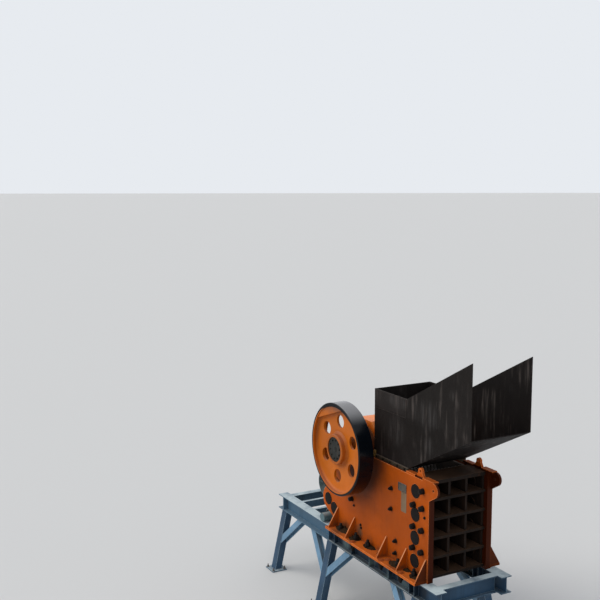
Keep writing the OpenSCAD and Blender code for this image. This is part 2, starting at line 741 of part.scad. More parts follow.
module wheel(grooves) {
    difference() {
        turned(-shaft_x, shaft_h) wheel_profile(grooves);
        for (i = [0 : 5]) let (a = web_hole_turn + 60 * i)
            across(-shaft_x + web_hole_r * cos(a), shaft_h + web_hole_r * sin(a), web_hole_d / 2, -hub_face,
                hub_face - half_w);
    }
    intersection() {
        across(-shaft_x, shaft_h, rim_in_r + 10, -rim_face + 20, rim_face - 20 - web_face + 30);
        translate([-shaft_x, 0, shaft_h]) rotate([0, -chord_turn, 0])
            translate([chord_r, -rim_face, -wheel_r]) cube([wheel_r, rim_w, wheel_d]);
    }
}
module flywheel() { color("darkorange") placed() wheel(false); }
module drive_sheave() { color("dimgray") placed() on_side(far) wheel(true); }
module clamp_ring(side) {
    color("darkslategray") placed() on_side(side)
        across(-shaft_x, shaft_h, cap_d / 2, -hub_face + ring_sink, ring_t);
}

// Feed chute
module chute_outline() {
    rise = (chute_reach + chute_fold_x) * tan(chute_slope);
    rim_rise = (chute_reach + rim_fold_x) * tan(chute_slope);
    polygon([[-chute_rear_x, bearer_top], [-chute_fold_x, bearer_top], [chute_reach, bearer_top + rise],
        [chute_reach, chute_top + rim_rise], [-rim_fold_x, chute_top], [-chute_rear_x, chute_top]]);
}
module chute_wall(side) {
    color("saddlebrown") placed() on_side(side) slab(-wall_y, chute_t) chute_outline();
}
module chute_wall_rear() {
    color("saddlebrown") placed() translate([-chute_rear_x, -chute_inner_w / 2, chute_rear_z])
        cube([chute_t, chute_inner_w, chute_top - chute_rear_z]);
}
module chute_floor() {
    len = (chute_reach + chute_fold_x) / cos(chute_slope) - floor_end_gap;
    color("saddlebrown") placed() translate([-chute_fold_x, -chute_inner_w / 2, bearer_top])
        rotate([0, -chute_slope, 0]) cube([len, chute_inner_w, chute_t]);
}
module chute_bearers() {
    color("olivedrab") placed() for (s = [near, far]) on_side(s)
        translate([-chute_rear_x, -wall_y - bearer_out, plate_h]) {
            cube([chute_rear_x - chute_fold_x, bearer_w, bearer_h]);
            cube([bearer_tab, bearer_out - seat, bearer_h + bearer_tab]);
        }
}

// Stand
module main_beam(side) {
    color("steelblue") placed() on_side(side) translate([0, -beam_y, -beam_h / 2]) difference() {
        union() {
            translate([-beam_rear_x, 0, 0]) rotate([90, 0, 90])
                h_post(beam_h, beam_b, beam_tf, beam_tw, beam_rear_x + beam_reach);
            for (x = concat(stiffener_x, leg_x))
                translate([-x - stiffener_t / 2, stiffener_inset - beam_b / 2, -beam_h / 2 + beam_tf - eps])
                cube([stiffener_t, beam_b - 2 * stiffener_inset, beam_h - 2 * beam_tf + 2 * eps]);
        }
        for (x = foot_bolt_x) translate([-x, beam_y - foot_bolt_y, beam_h / 2 - beam_tf - eps])
            cylinder(d = foot_hole_d, h = beam_tf + 2 * eps);
    }
}
module cross_beams() {
    color("steelblue") placed() for (x = cross_x)
        translate([-x, -cross_len / 2, -beam_h / 2]) rotate([-90, 0, 0])
        h_post(beam_h, cross_b, beam_tf, beam_tw, cross_len);
}
// Legs and knee braces lie in one plane that leans out from under the beam
module leaning() { translate([0, -beam_y, -beam_h]) rotate([-splay, 0, 0]) children(); }
module between_ground_and_beam() {
    intersection() {
        children();
        translate([-beyond, -beyond, -stand_h + base_t - eps])
            cube([2 * beyond, 2 * beyond, stand_h - base_t - beam_h + eps - seat]);
    }
}
module leg(side, x) {
    foot_y = -beam_y - (stand_h - beam_h) * tan(splay);
    color("steelblue") placed() on_side(side) {
        between_ground_and_beam() leaning() translate([-x, 0, -stand_h])
            linear_extrude(1.2 * stand_h) difference() {
                square([leg_b, leg_d], center = true);
                square([leg_b - 2 * leg_t, leg_d - 2 * leg_t], center = true);
            }
        translate([-x, foot_y, -stand_h]) difference() {
            translate([-base_w / 2, -base_w / 2, 0]) cube([base_w, base_w, base_t]);
            for (i = [-1, 1]) for (j = [-1, 1]) translate([i * anchor_pitch / 2, j * anchor_pitch / 2, -eps])
                cylinder(d = anchor_d, h = base_t + 2 * eps);
        }
    }
}
// A brace from the beam down to the face of the leg at x, on the side that dir points to
module knee_brace(x, dir) {
    reach = (brace_run + brace_b) * sqrt(2);
    between_ground_and_beam() intersection() {
        leaning() translate([-x + dir * (leg_b / 2 + seat), -leg_b, -2 * brace_run])
            translate([dir > 0 ? 0 : -2 * brace_run, 0, 0]) cube([2 * brace_run, 2 * leg_b, 3 * brace_run]);
        leaning() translate([-x + dir * (leg_b / 2 + brace_run), 0, 0]) rotate([0, dir * 45, 0])
            translate([0, 0, -reach]) h_post(brace_b, brace_b, brace_tf, brace_tw, reach + brace_b);
    }
}
module knee_braces(side) {
    color("steelblue") placed() on_side(side) {
        knee_brace(leg_x[0], 1);
        knee_brace(leg_x[1], -1);
        knee_brace(leg_x[1], 1);
        knee_brace(leg_x[2], -1);
    }
}
module foot_stops() {
    color("cadetblue") placed() for (s = [near, far]) on_side(s)
        across(-stop_x, stop_d / 2 + seat, stop_d / 2, -beam_y - stop_len / 2, stop_len);
}

// Drive
module motor_rails() {
    color("steelblue") placed() for (s = [-1, 1])
        translate([-motor_x + s * motor_foot_pitch / 2 - motor_rail_w / 2, 0, 0]) {
            translate([0, -cross_len / 2, -motor_rail_d]) cube([motor_rail_w, cross_len, motor_rail_d]);
            translate([0, motor_body_y - motor_rail_over, 0])
                cube([motor_rail_w, motor_body_len + 2 * motor_rail_over, rail_h - seat]);
        }
}
module drive_motor() {
    end_y = motor_body_y + motor_body_len;
    color("teal") placed() translate([-motor_x, 0, motor_z]) union() {
        translate([0, end_y, 0]) rotate([90, 0, 0]) linear_extrude(motor_body_len)
            polygon([for (i = [0 : fin_n - 1]) for (k = [0 : 3])
                let (a = 360 * (i + [0, 0.35, 0.5, 0.85][k]) / fin_n,
                    r = motor_d / 2 - (k < 2 ? 0 : fin_depth))
                [r * cos(a), r * sin(a)]]);
        across(0, 0, cowl_r, motor_body_y - cowl_len, cowl_len + eps);
        across(0, 0, motor_nose_r, end_y - eps, motor_nose);
        across(0, 0, motor_shaft_d / 2, end_y, belt_y + pulley_w / 2 - end_y - 20);
        for (s = [-1, 1]) translate([s * motor_foot_pitch / 2 - motor_foot_w / 2, 0, -motor_h]) {
            translate([0, motor_body_y + motor_foot_inset, 0])
                cube([motor_foot_w, motor_body_len - 2 * motor_foot_inset, motor_foot_t]);
            for (y = [motor_body_y + 1.5 * motor_foot_inset,
                end_y - 1.5 * motor_foot_inset - motor_bracket[1]])
                translate([0, y, eps]) cube(motor_bracket);
        }
        translate([-terminal_box[0] / 2, motor_body_y + (motor_body_len - terminal_box[1]) / 2,
            motor_d / 2 - 60])
            cube(terminal_box);
    }
}
module motor_pulley() {
    r = pulley_d / 2;
    bore = motor_shaft_d / 2 + wheel_bore_gap;
    y0 = belt_y - pulley_w / 2;
    y1 = belt_y + pulley_w / 2;
    half = belt_w / 2 + groove_flare;
    color("dimgray") placed() on_side(far) turned(-motor_x, motor_z) polygon(concat(
        [[bore, y0], [r, y0]],
        [for (i = [0 : belt_n - 1]) let (y = belt_y + (i - (belt_n - 1) / 2) * belt_pitch)
            each [[r, y - half - 1], [r - belt_t, y - half + 1],
                [r - belt_t, y + half - 1], [r, y + half + 1]]],
        [[r, y1], [bore, y1]]
    ));
}
module v_belts() {
    sheave = [-shaft_x, shaft_h];
    pulley = [-motor_x, motor_z];
    r1 = sheave_belt_r;
    r2 = pulley_belt_r + seat;
    color("black") placed() for (i = [0 : belt_n - 1])
        slab(belt_y + (i - (belt_n - 1) / 2) * belt_pitch - belt_w / 2, belt_w) difference() {
            polygon(belt_line(sheave, r1 + belt_t, 24, pulley, r2 + belt_t, 10));
            polygon(belt_line(sheave, r1, 24, pulley, r2, 10));
        }
}

side_plate(near);  // side_plate_near
side_plate(far);  // side_plate_far
front_frame();
rear_frame();
fixed_jaw_die();
moving_jaw_die();
cheek_plates(near);  // cheek_plates_near
cheek_plates(far);  // cheek_plates_far
pitman();
pitman_cover();
toggle_plate();
toggle_seat();
adjusting_wedges();
tension_rods();
tension_springs();
bearing_housing(near);  // bearing_housing_near
bearing_housing(far);  // bearing_housing_far
eccentric_shaft();
flywheel();
drive_sheave();
clamp_ring(near);  // clamp_ring_near
clamp_ring(far);  // clamp_ring_far
chute_wall(near);  // chute_wall_near
chute_wall(far);  // chute_wall_far
chute_wall_rear();
chute_floor();
chute_bearers();
main_beam(near);  // main_beam_near
main_beam(far);  // main_beam_far
cross_beams();
leg(near, leg_x[0]);  // leg_near_rear
leg(near, leg_x[1]);  // leg_near_middle
leg(near, leg_x[2]);  // leg_near_front
leg(far, leg_x[0]);  // leg_far_rear
leg(far, leg_x[1]);  // leg_far_middle
leg(far, leg_x[2]);  // leg_far_front
knee_braces(near);  // knee_braces_near
knee_braces(far);  // knee_braces_far
foot_stops();
motor_rails();
drive_motor();
motor_pulley();
v_belts();
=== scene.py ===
"""Jaw crusher on its stand: paint, wear, bolts, weld seams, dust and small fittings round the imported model.

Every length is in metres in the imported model's frame: +X to the feed end, +Y to the belt drive, +Z up.
"""

import math

import bmesh
import bpy
import numpy as np
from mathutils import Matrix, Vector


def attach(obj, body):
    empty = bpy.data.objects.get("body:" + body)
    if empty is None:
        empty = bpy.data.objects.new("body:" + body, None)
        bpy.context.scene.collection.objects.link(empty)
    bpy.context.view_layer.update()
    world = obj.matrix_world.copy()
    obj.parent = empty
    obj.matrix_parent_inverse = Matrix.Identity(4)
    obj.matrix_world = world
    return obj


bl_info = {
    "name": "Jaw crusher",
    "version": (1, 0, 0),
    "blender": (4, 5, 0),
    "location": "View3D > Sidebar > Crusher",
    "description": "Dresses a jaw crusher and its stand with paint, fasteners, weld seams and dust",
    "category": "Add Mesh",
}

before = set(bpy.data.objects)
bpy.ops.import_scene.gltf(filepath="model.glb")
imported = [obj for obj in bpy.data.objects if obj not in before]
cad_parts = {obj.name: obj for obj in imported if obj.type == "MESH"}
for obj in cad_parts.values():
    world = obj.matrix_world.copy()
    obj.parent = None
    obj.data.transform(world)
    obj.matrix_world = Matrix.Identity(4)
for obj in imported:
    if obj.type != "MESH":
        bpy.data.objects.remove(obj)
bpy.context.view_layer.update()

SIDES = ((-1, "near"), (1, "far"))
UP, DOWN = (0, 0, 1), (0, 0, -1)

# The crusher's feet begin at FOOT_X and stand at FOOT_Z. Places on the side plates are pairs (x, z), counted
# from there to the rear and up, and so are those on the chute, the beams and the motor
FOOT_X, FOOT_Z, FOOT_LEN = 2.86, 2.15, 4.05
HALF_W, PLATE_T, PLATE_H = 0.92, 0.15, 2.37
CAP_X, CAP_LEN = 0.69, 0.34
FLANGE_W, FLANGE_T = 0.325, 0.06
GUSSET_X = (0.016, 0.78, 1.62, 3.08, 3.92)
GUSSET_T, GUSSET_H, GUSSET_REACH = 0.032, 0.56, 0.295

# Bolts: those of the foot flange, the hole at PLUG_X with a painted head over it, nuts hung under the flange,
# and those of the front and rear frames through the side plates, with the frames' spigots
FOOT_BOLT_X, FOOT_BOLT_Y, PLUG_X = (0.33, 0.98, 2.30, 2.85, 3.60), 1.03, 1.40
HUNG_NUT_X, HUNG_NUT_Y, HUNG_NUT, PAINTED_HEAD = (0.65, 1.47, 2.77), 1.18, 0.125, 0.09
SPIGOTS = [(0.46, 0.37 + 0.557 * i) for i in range(4)] + [(4.43, 0.65), (4.12, 0.474)]
COLUMN_BOLTS = [
    (0.51, 1.71), (0.51, 1.19), (0.51, 0.68), (0.18, 2.12), (0.18, 1.71), (0.18, 1.19), (0.18, 0.67),
]
CONE_BOLTS = [(1.44, 1.82), (1.44, 1.31), (1.235, 0.575), (1.235, 0.275)]
REAR_BOLTS = [(3.22, 1.008)]
SMALL_BOLTS = [(2.78, 0.38), (2.80, 0.45), (3.13, 0.859), (0.10, 1.516)]
FRAME_BOLTS = COLUMN_BOLTS + CONE_BOLTS + REAR_BOLTS

# The bare plate's middle (x, z) and height, and the strip's place, width and height
BARE_AT, BARE_H = (0.989, 1.97), 0.20
STRIP_AT, STRIP_W, STRIP_H = 0.925, 0.21, 0.485

# Wheels, bearing housings and hub screws on the shaft, whose middle is at SHAFT (x, z)
SHAFT = (-0.047, 4.65)
RIM_FACE, HUB_FACE = 1.645, 1.66
RIM_IN_R, WHEEL_R, BLACK_R = 1.085, 1.165, 1.112
HOUSING_T, HOUSING_NUT_R, COVER_T, COVER_SCREW_R = 0.06, 0.435, 0.25, 0.275
NIPPLE_AT = (0.1, 0.13, 0.348)
HUB_SCREW_R, HUB_SCREW, HUB_SUNK = 0.235, 0.036, 0.02

# Stand: main beams, their stiffeners, and legs that lean outwards
BEAM_Y, BEAM_H, BEAM_TF, BEAM_TW = 0.94, 0.41, 0.022, 0.014
STIFF_T, STIFF_REACH = 0.014, 0.142
STIFF_X = (0.45, 1.30, 2.15, 3.00, 3.85, 6.78, 4.15, 0.25)
LEG_X, LEG_D, LEG_LEAN = (6.78, 4.15, 0.25), 0.20, math.radians(12.5)
LEG_FOOT_Y = BEAM_Y + 1.74 * math.tan(LEG_LEAN)
BASE_T, ANCHOR_OUT = 0.03, 0.18

# Feed chute: upright walls behind the fold, sloping ones ahead of it, and the doubler band under the rim
WALL_Y, WALL_T = 0.835, 0.02
CHUTE_REAR, CHUTE_FOLD, CHUTE_REACH = 2.34, 0.88, 1.35
CHUTE_TOP, CHUTE_SLOPE, RIM_FOLD = 4.08, math.radians(28), 0.99
BEARER_TOP, BEARER_REAR = 2.45, 2.34
BAND_H, BAND_T, REAR_WALL_FOOT = 0.45, 0.009, 3.10

# Motor: its shaft's place, the casing's radius and ends, the cowl's rear face, the lid's bolts and the eye
MOTOR_X, MOTOR_Z, MOTOR_R = 5.80, 0.55, 0.39
MOTOR_Y, COWL_Y = (0.115, 1.115), -0.225
BOX_Y, EYE_Y = 0.59, 0.30
# Its grille's wire and rim and the end shield's bolts. Then, counted from the shaft, the lid's height and size,
# the gland (x, z), the foot nuts (x, z) and where these stand along Y
WIRE_R, COWL_R, SHIELD_OUT, SHIELD_BOLT_R = 0.006, 0.372, 0.085, 0.315
LID_Z, LID_SIZE, LID_BOLTS = 0.535, (0.40, 0.38, 0.03), (0.175, 0.165)
GLAND_AT, FOOT_NUT_AT, FOOT_NUT_Y = (0.19, 0.43), (0.343, -0.355), (0.28, 0.90)

# Half the floor's side; the camera's place, its turn to the left of +Y, its dip, lens and sensor (millimetres)
FLOOR_HALF = 4000.0
CAMERA_AT, CAMERA_TURN, CAMERA_DIP = (18.76, -12.79, 11.05), math.radians(61.609), math.radians(6.9055)
LENS, SENSOR = 54.0, 36.0
# Colours of the floor, of the light from all round, of the sky that the camera sees and of the lamps, and the
# lamps: name, direction of the light, strength and angle in degrees
FLOOR_TINT, ROUND_TINT, SKY_TINT = (0.62, 0.61, 0.59, 1), (0.80, 0.86, 0.95, 1), (0.80, 0.83, 0.87, 1)
LAMP_TINT, ROUND_STRENGTH = (1.0, 0.97, 0.93), 0.72
LAMPS = (("key", (0.42, 0.62, -0.66), 1.7, 50), ("fill", (-0.75, 0.45, -0.5), 0.35, 80))

# Smears on the side plates, rubbed places on the chute's walls and painted patches of light on the beams' webs:
# place x, z, half length, half height, share and, for a smear, its colour
SMEARS = [
    (2.86, 0.24, 0.22, 0.30, 0.85, (0.085, 0.052, 0.030, 1)),
    (3.55, 0.12, 0.36, 0.26, 0.75, (0.040, 0.022, 0.012, 1)),
    (0.96, 0.10, 0.34, 0.12, 0.70, (0.090, 0.014, 0.004, 1)),
]
RUBBED = [
    (0.20, 3.87, 0.56, 0.40, 0.90), (0.10, 3.18, 0.20, 0.26, 0.80), (-0.69, 4.51, 0.10, 0.16, 0.9),
    (-0.88, 3.51, 0.07, 0.14, 0.9), (1.36, 3.93, 0.50, 0.20, 0.40), (1.40, 3.25, 0.40, 0.45, 0.25),
]
WEB_LIGHT_PATCHES = [
    (3.48, -0.30, 0.24, 0.16, 0.70), (2.19, -0.28, 0.20, 0.16, 0.75),
    (1.42, -0.33, 0.20, 0.14, 0.60), (0.80, -0.33, 0.26, 0.14, 0.50),
]
# The flywheel's round painted shadow, mixed with old grease, on the side plates behind it: middle, outer and
# inner radius, share
WHEEL_SHADE_AT, WHEEL_SHADE_R, WHEEL_SHADE_SHARE = (3.05, 2.32), (1.62, 1.02), 0.88

# Heaps on a foot flange: place along it and out from the plate, half length, half width,
# share of the height, and the gussets that they lie between
HEAPS = [
    (3.55, 0.03, 0.36, 0.17, 1.0, 3.10, 3.90), (2.93, 0.06, 0.20, 0.20, 0.8, 1.64, 3.06),
    (2.28, 0.05, 0.26, 0.15, 0.55, 1.64, 3.06), (1.06, 0.07, 0.30, 0.18, 0.55, 0.80, 1.60),
    (0.86, 0.02, 0.10, 0.16, 0.7, 0.80, 1.60), (0.28, 0.06, 0.22, 0.17, 0.6, 0.04, 0.76),
    (0.70, 0.03, 0.16, 0.12, 0.45, 0.04, 0.76), (1.75, 0.03, 0.18, 0.14, 0.4, 1.64, 3.06),
]

# Turned profiles (radius, height), and the round nut with a hexagon (radius, height, hexagon or not)
CONE_NUT = [
    (0.055, -0.003, 0), (0.055, 0.010, 0), (0.045, 0.022, 0), (0.0375, 0.022, 1), (0.0375, 0.066, 1),
    (0.034, 0.072, 0), (0.022, 0.072, 0), (0.022, 0.096, 0), (0.017, 0.100, 0),
]
NIPPLE = [(0.016, 0.0), (0.016, 0.018), (0.009, 0.02), (0.009, 0.034), (0.013, 0.036), (0.007, 0.05)]
SHAFT_PLUG = [(0.075, -0.002), (0.075, 0.006), (0.068, 0.009), (0.03, 0.009), (0.026, 0.004), (0.012, 0.003)]
ROUND_SCREW = [(0.010, -0.001), (0.010, 0.002), (0.007, 0.005), (0.002, 0.006)]
GRILLE_HUB = [(0.06, 0.0), (0.06, 0.012), (0.045, 0.018), (0.01, 0.02)]
END_SHIELD = [
    (0.362, -0.03), (0.362, 0.012), (0.34, 0.022), (0.26, 0.030),
    (0.18, 0.055), (0.13, 0.06), (0.125, 0.045), (0.06, 0.045),
]
EYE_BOSS = [(0.034, -0.05), (0.034, 0.006), (0.02, 0.016), (0.014, 0.02)]
GLAND = [(0.032, -0.002), (0.032, 0.02), (0.026, 0.022), (0.026, 0.045), (0.018, 0.05)]


def length(name, description, default, low, high):
    """A length that a user may change."""
    return bpy.props.FloatProperty(
        name=name, description=description, default=default, min=low, max=high, unit="LENGTH"
    )


def colour(name, description, default):
    """A colour that a user may change."""
    return bpy.props.FloatVectorProperty(
        name=name, description=description, subtype="COLOR", default=default, min=0, max=1
    )


class CrusherSizes(bpy.types.PropertyGroup):
    """Sizes of the fasteners, seams and small fittings"""

    big_nut: length("Frame nut", "Width across flats of the big nuts on the side plates", 0.118, 0.08, 0.14)
    foot_nut: length("Foot nut", "Width across flats of the foot bolts' nuts", 0.122, 0.05, 0.14)
    housing_nut: length("Housing nut", "Width across flats of the bearing housings' nuts", 0.055, 0.03, 0.07)
    anchor_nut: length("Anchor nut", "Width across flats of the anchor nuts", 0.046, 0.03, 0.06)
    bead: length("Weld bead", "Radius of a weld bead", 0.011, 0.004, 0.02)
    ripple: length("Bead ripple", "Spacing of the ripples along a weld bead", 0.022, 0.008, 0.04)
    plate_w: length("Plate width", "Width of the bare plate on the near side plate", 0.33, 0.1, 0.4)
    heap_h: length("Heap height", "Height of the highest dirt heap on the foot flange", 0.10, 0.03, 0.2)


class CrusherColours(bpy.types.PropertyGroup):
    """Paint and dust colours"""

    orange: colour("Orange paint", "Paint on the crusher's plates and jaw", (0.42, 0.0725, 0.0015))
    wheel: colour("Wheel paint", "Lighter paint on the wheels' webs", (0.52, 0.125, 0.007))
    blue: colour("Blue paint", "Paint on the stand", (0.023, 0.062, 0.115))
    teal: colour("Teal paint", "Paint on the motor", (0.045, 0.075, 0.078))
    chute: colour("Chute steel", "Dark steel of the feed chute", (0.0125, 0.0095, 0.0085))
    dust: colour("Stone dust", "Dust that lies on level faces", (0.29, 0.23, 0.17))
    rust: colour("Rust", "Rust at worn edges and runs", (0.105, 0.036, 0.013))


# ---------------------------------------------------------------- shapes


def at(x, y, z):
    """A place given from the foot's front end, the middle plane and the foot level."""
    return (FOOT_X - x, y, FOOT_Z + z)


def angles(count, start=0.0):
    """Angles spaced evenly round a full turn: (k + start) times two pi over count."""
    return (np.arange(count) + start) * 2 * math.pi / count


def grid_quads(rows, cols, closed):
    """Faces of a grid of points: each joins a point to the next in its row and to both in the next row.

    closed joins the last column to the first."""
    j = np.arange(cols if closed else cols - 1)
    i = np.arange(rows - 1)[:, None]
    k = (j + 1) % cols
    return np.stack([i * cols + j, i * cols + k, (i + 1) * cols + k, (i + 1) * cols + j], -1).reshape(-1, 4)


def capped_faces(rows, cols):
    """Faces of rows that each close on themselves, and a fan at both ends to the two points after them."""
    k = np.arange(cols)
    m = (k + 1) % cols
    last = (rows - 1) * cols
    foot = np.stack([m, k, np.full(cols, rows * cols)], -1)
    head = np.stack([last + k, last + m, np.full(cols, rows * cols + 1)], -1)
    return [grid_quads(rows, cols, True), foot, head]


def ring_faces(rows, cols):
    """Faces of a grid that closes both ways: the row after the last is the first again."""
    return [grid_quads(rows + 1, cols, True) % (rows * cols)]


def hex_radius(u):
    """Distance from a hexagon's middle to its side at the angle u, for a half width of one.

    It is one over the cosine of the angle from the nearest flat's middle."""
    return 1 / np.cos((u + math.pi / 6) % (math.pi / 3) - math.pi / 6)


def round_surface(r, h, steps):
    """Rows of points at height h and radius r times each angle's cosine and sine, closed on the axis."""
    u = angles(steps)
    z = np.repeat(h[:, None], steps, 1)
    points = np.stack([r * np.cos(u), r * np.sin(u), z], -1).reshape(-1, 3)
    return np.vstack([points, [[0, 0, h[0]], [0, 0, h[-1]]]]), capped_faces(len(h), steps)


def turned_nut(rows, steps=12):
    """A nut, washer and bolt end as one turned surface, closed on the axis at both ends.

    rows holds (r, h, flag) from the foot up: at height h the radius is r, and r times hex_radius for flag 1."""
    r, h, flags = np.array(rows, float).T
    return round_surface(r[:, None] * np.where(flags[:, None] > 0, hex_radius(angles(steps)), 1.0), h, steps)


def nut_rows(af, stud=0.5, washer=0.9, height=0.8, proud=0.35):
    """Rows of turned_nut for a washer, a nut of width af across flats and the bolt end proud of it.

    stud and washer are their radii, height the nut's and proud the bolt end's height, as shares of af."""
    w, h, p = 0.13 * af, height * af, proud * af
    rows = [
        (washer * af, -0.003, 0), (washer * af, w * 0.8, 0), (washer * af - 0.002, w, 0),
        (af / 2, w, 1), (af / 2, w + h * 0.9, 1), (af * 0.49, w + h, 0),
    ]
    r = stud * af / 2
    return rows + [(r * 1.05, w + h, 0), (r * 1.05, w + h + p * 0.85, 0), (r * 0.85, w + h + p, 0)]


def head_rows(af, height=0.65):
    """Rows of turned_nut for a washer and a domed bolt head of width af across its flats."""
    w, h = 0.12 * af, height * af
    washer = [(af * 0.9, -0.003, 0), (af * 0.9, w, 0)]
    return washer + [(af / 2, w, 1), (af / 2, w + h * 0.85, 1), (af * 0.47, w + h, 0)]


def across_basis(axes, turns):
    """Three unit vectors for each axis: the third is the axis, the others square to it and turned by turns."""
    n = axes / np.linalg.norm(axes, axis=1, keepdims=True)
    level = np.where(np.abs(n[:, 2:3]) > 0.9, [[1.0, 0, 0]], [[0, 0, 1.0]])
    a = np.cross(level, n)
    a /= np.linalg.norm(a, axis=1, keepdims=True)
    b = np.cross(n, a)
    c, s = np.cos(turns)[:, None], np.sin(turns)[:, None]
    return np.stack([a * c + b * s, -a * s + b * c, n], 1)


def along(axis):
    """The three unit vectors of across_basis for one axis, not turned."""
    return across_basis(np.array([axis], float), np.zeros(1))[0]


def repeated(shape, places, axis, seed):
    """One shape at many places: each point is the place plus the shape's point along three unit vectors.

    The third vector is axis, and each copy is turned about it by a random part of a sixth of a turn."""
    points, faces = shape
    places = np.asarray(places, float)
    turns = np.random.default_rng(seed).uniform(0, math.pi / 3, len(places))
    basis = across_basis(np.array([axis] * len(places), float), turns)
    all_points = (places[:, None] + np.einsum("pi,kij->kpj", points, basis)).reshape(-1, 3)
    shift = (np.arange(len(places)) * len(points))[:, None, None]
    return all_points, [(f[None] + shift).reshape(-1, f.shape[1]) for f in faces]


def fasteners(rows, places, axis, seed):
    """The nut or head that rows describe, at each place along axis."""
    return repeated(turned_nut(rows), places, axis, seed)


def round_places(centre, count, radius, y, start=0.0):
    """Places on a circle round a line along Y: centre (x, z) plus radius times each angle's cosine and sine."""
    u = angles(count, start)
    return np.stack([centre[0] + radius * np.cos(u), np.full(count, y), centre[1] + radius * np.sin(u)], -1)


def joined(*shapes):
    """Several shapes as one list of points and faces."""
    points, faces, base = [], [], 0
    for p, fs in shapes:
        points.append(p)
        faces += [f + base for f in fs]
        base += len(p)
    return np.vstack(points), faces


def swept(path, section, radius=None, closed=False):
    """A section carried along a path: its two coordinates, times radius, along two unit vectors square to it.

    The vectors are cross products of the path's direction with a fixed one, so that no straight run twists."""
    path, section = np.asarray(path, float), np.asarray(section, float)
    ahead = np.roll(path, -1, 0) - np.roll(path, 1, 0) if closed else np.gradient(path, axis=0)
    n = ahead / np.linalg.norm(ahead, axis=1, keepdims=True)
    fixed = np.zeros(3)
    fixed[int(np.argmin(np.ptp(path, axis=0)))] = 1.0
    a = np.cross(n, fixed)
    a /= np.linalg.norm(a, axis=1, keepdims=True)
    b = np.cross(n, a)
    r = np.ones(len(path)) if radius is None else radius
    spread = section[None, :, :1] * a[:, None] + section[None, :, 1:] * b[:, None]
    points = (path[:, None] + r[:, None, None] * spread).reshape(-1, 3)
    if closed:
        return points, ring_faces(len(path), len(section))
    return np.vstack([points, path[:1], path[-1:]]), capped_faces(len(path), len(section))


def round_section(sides, r=1.0):
    """Points of a circle of radius r."""
    u = angles(sides)
    return np.stack([np.cos(u), np.sin(u)], -1) * r


def bead(start, end, r, ripple, seed):
    """A weld bead: a round section along a straight line, with a rippled radius.

    The radius is r times 0.9 plus a rectified sine of the ripple's spacing, with two slow sines added."""
    start, end = np.asarray(start, float), np.asarray(end, float)
    span = np.linalg.norm(end - start)
    t = np.linspace(0, 1, max(4, int(span / (ripple / 2)) + 1))
    shift = np.random.default_rng(seed).uniform(0, 6.28, 3)
    s = t * span
    slow = 0.07 * np.sin(s * 31 + shift[0]) + 0.05 * np.sin(s * 67 + shift[1])
    radius = r * (0.9 + 0.16 * np.abs(np.sin(math.pi * s / ripple)) + slow)
    return swept(start + t[:, None] * (end - start), round_section(6), radius)


def beads(lines, r, ripple, seed):
    """A weld bead along each line, all as one shape."""
    return joined(*[bead(a, b, r, ripple, seed + k) for k, (a, b) in enumerate(lines)])


def ring_tube(centre, axis, ring_r, tube_r, steps=48, sides=10):
    """A torus: a circle of radius tube_r carried round a circle of radius ring_r, which is square to axis."""
    u, v = angles(steps), angles(sides)
    r = ring_r + tube_r * np.cos(v)[None]
    z = np.repeat(tube_r * np.sin(v)[None], steps, 0)
    local = np.stack([r * np.cos(u)[:, None], r * np.sin(u)[:, None], z], -1)
    return (np.asarray(centre) + local @ along(axis)).reshape(-1, 3), ring_faces(steps, sides)


def turned(profile, centre, axis, steps=64):
    """A profile of (radius, height) turned round an axis through centre, and closed on it at both ends."""
    r, h = np.array(profile, float).T
    points, faces = round_surface(r[:, None], h, steps)
    return np.asarray(centre) + points @ along(axis), faces


def soft_box(centre, size, lift=0.05, power=14, steps=48, rows=21):
    """A box with rounded edges: a superellipsoid whose cosine and sine are raised to two over power.

    Its points are lifted by a share, held inside the unit box and stretched to size."""
    u = angles(steps, 0.5)
    v = np.linspace(-math.pi / 2, math.pi / 2, rows)[:, None]

    def p(x):
        return np.sign(x) * np.abs(x) ** (2 / power)

    z = np.repeat(p(np.sin(v)), steps, 1)
    unit = np.stack([p(np.cos(v)) * p(np.cos(u)), p(np.cos(v)) * p(np.sin(u)), z], -1).reshape(-1, 3)
    points = np.asarray(centre) + np.clip(unit * (1 + lift), -1, 1) * np.asarray(size) / 2
    return points, [grid_quads(rows, steps, True)]


def pillow(x, y, top, bottom):
    """A closed slab between two height fields on one grid, with the wall that joins their borders."""
    rows, cols = x.shape
    up = np.stack([x, y, top], -1).reshape(-1, 3)
    down = np.stack([x, y, bottom], -1).reshape(-1, 3)
    q = grid_quads(rows, cols, False)
    n = rows * cols
    idx = np.arange(n).reshape(rows, cols)
    rim = np.concatenate([idx[0, :], idx[1:, -1], idx[-1, -2::-1], idx[-2:0:-1, 0]])
    after = np.roll(rim, -1)
    return np.vstack([up, down]), [q, q[:, ::-1] + n, np.stack([rim, rim + n, after + n, after], -1)]


def stone(seed):
    """A broken stone: a unit sphere cut back by seven planes, each a dot product held under a limit."""
    rng = np.random.default_rng(seed)
    u = angles(8)
    v = np.linspace(-math.pi / 2, math.pi / 2, 6)[1:-1, None]
    z = np.repeat(np.sin(v), 8, 1)
    p = np.stack([np.cos(v) * np.cos(u), np.cos(v) * np.sin(u), z], -1).reshape(-1, 3)
    p = np.vstack([p, [DOWN, UP]])
    planes = rng.normal(size=(7, 3))
    planes /= np.linalg.norm(planes, axis=1, keepdims=True)
    limit = rng.uniform(0.55, 0.85, 7)
    reach = p @ planes.T
    cut = np.where(reach > 0, limit / np.maximum(reach, 1e-6), 9)
    return p * np.minimum(1, np.min(cut, axis=1))[:, None], capped_faces(4, 8)


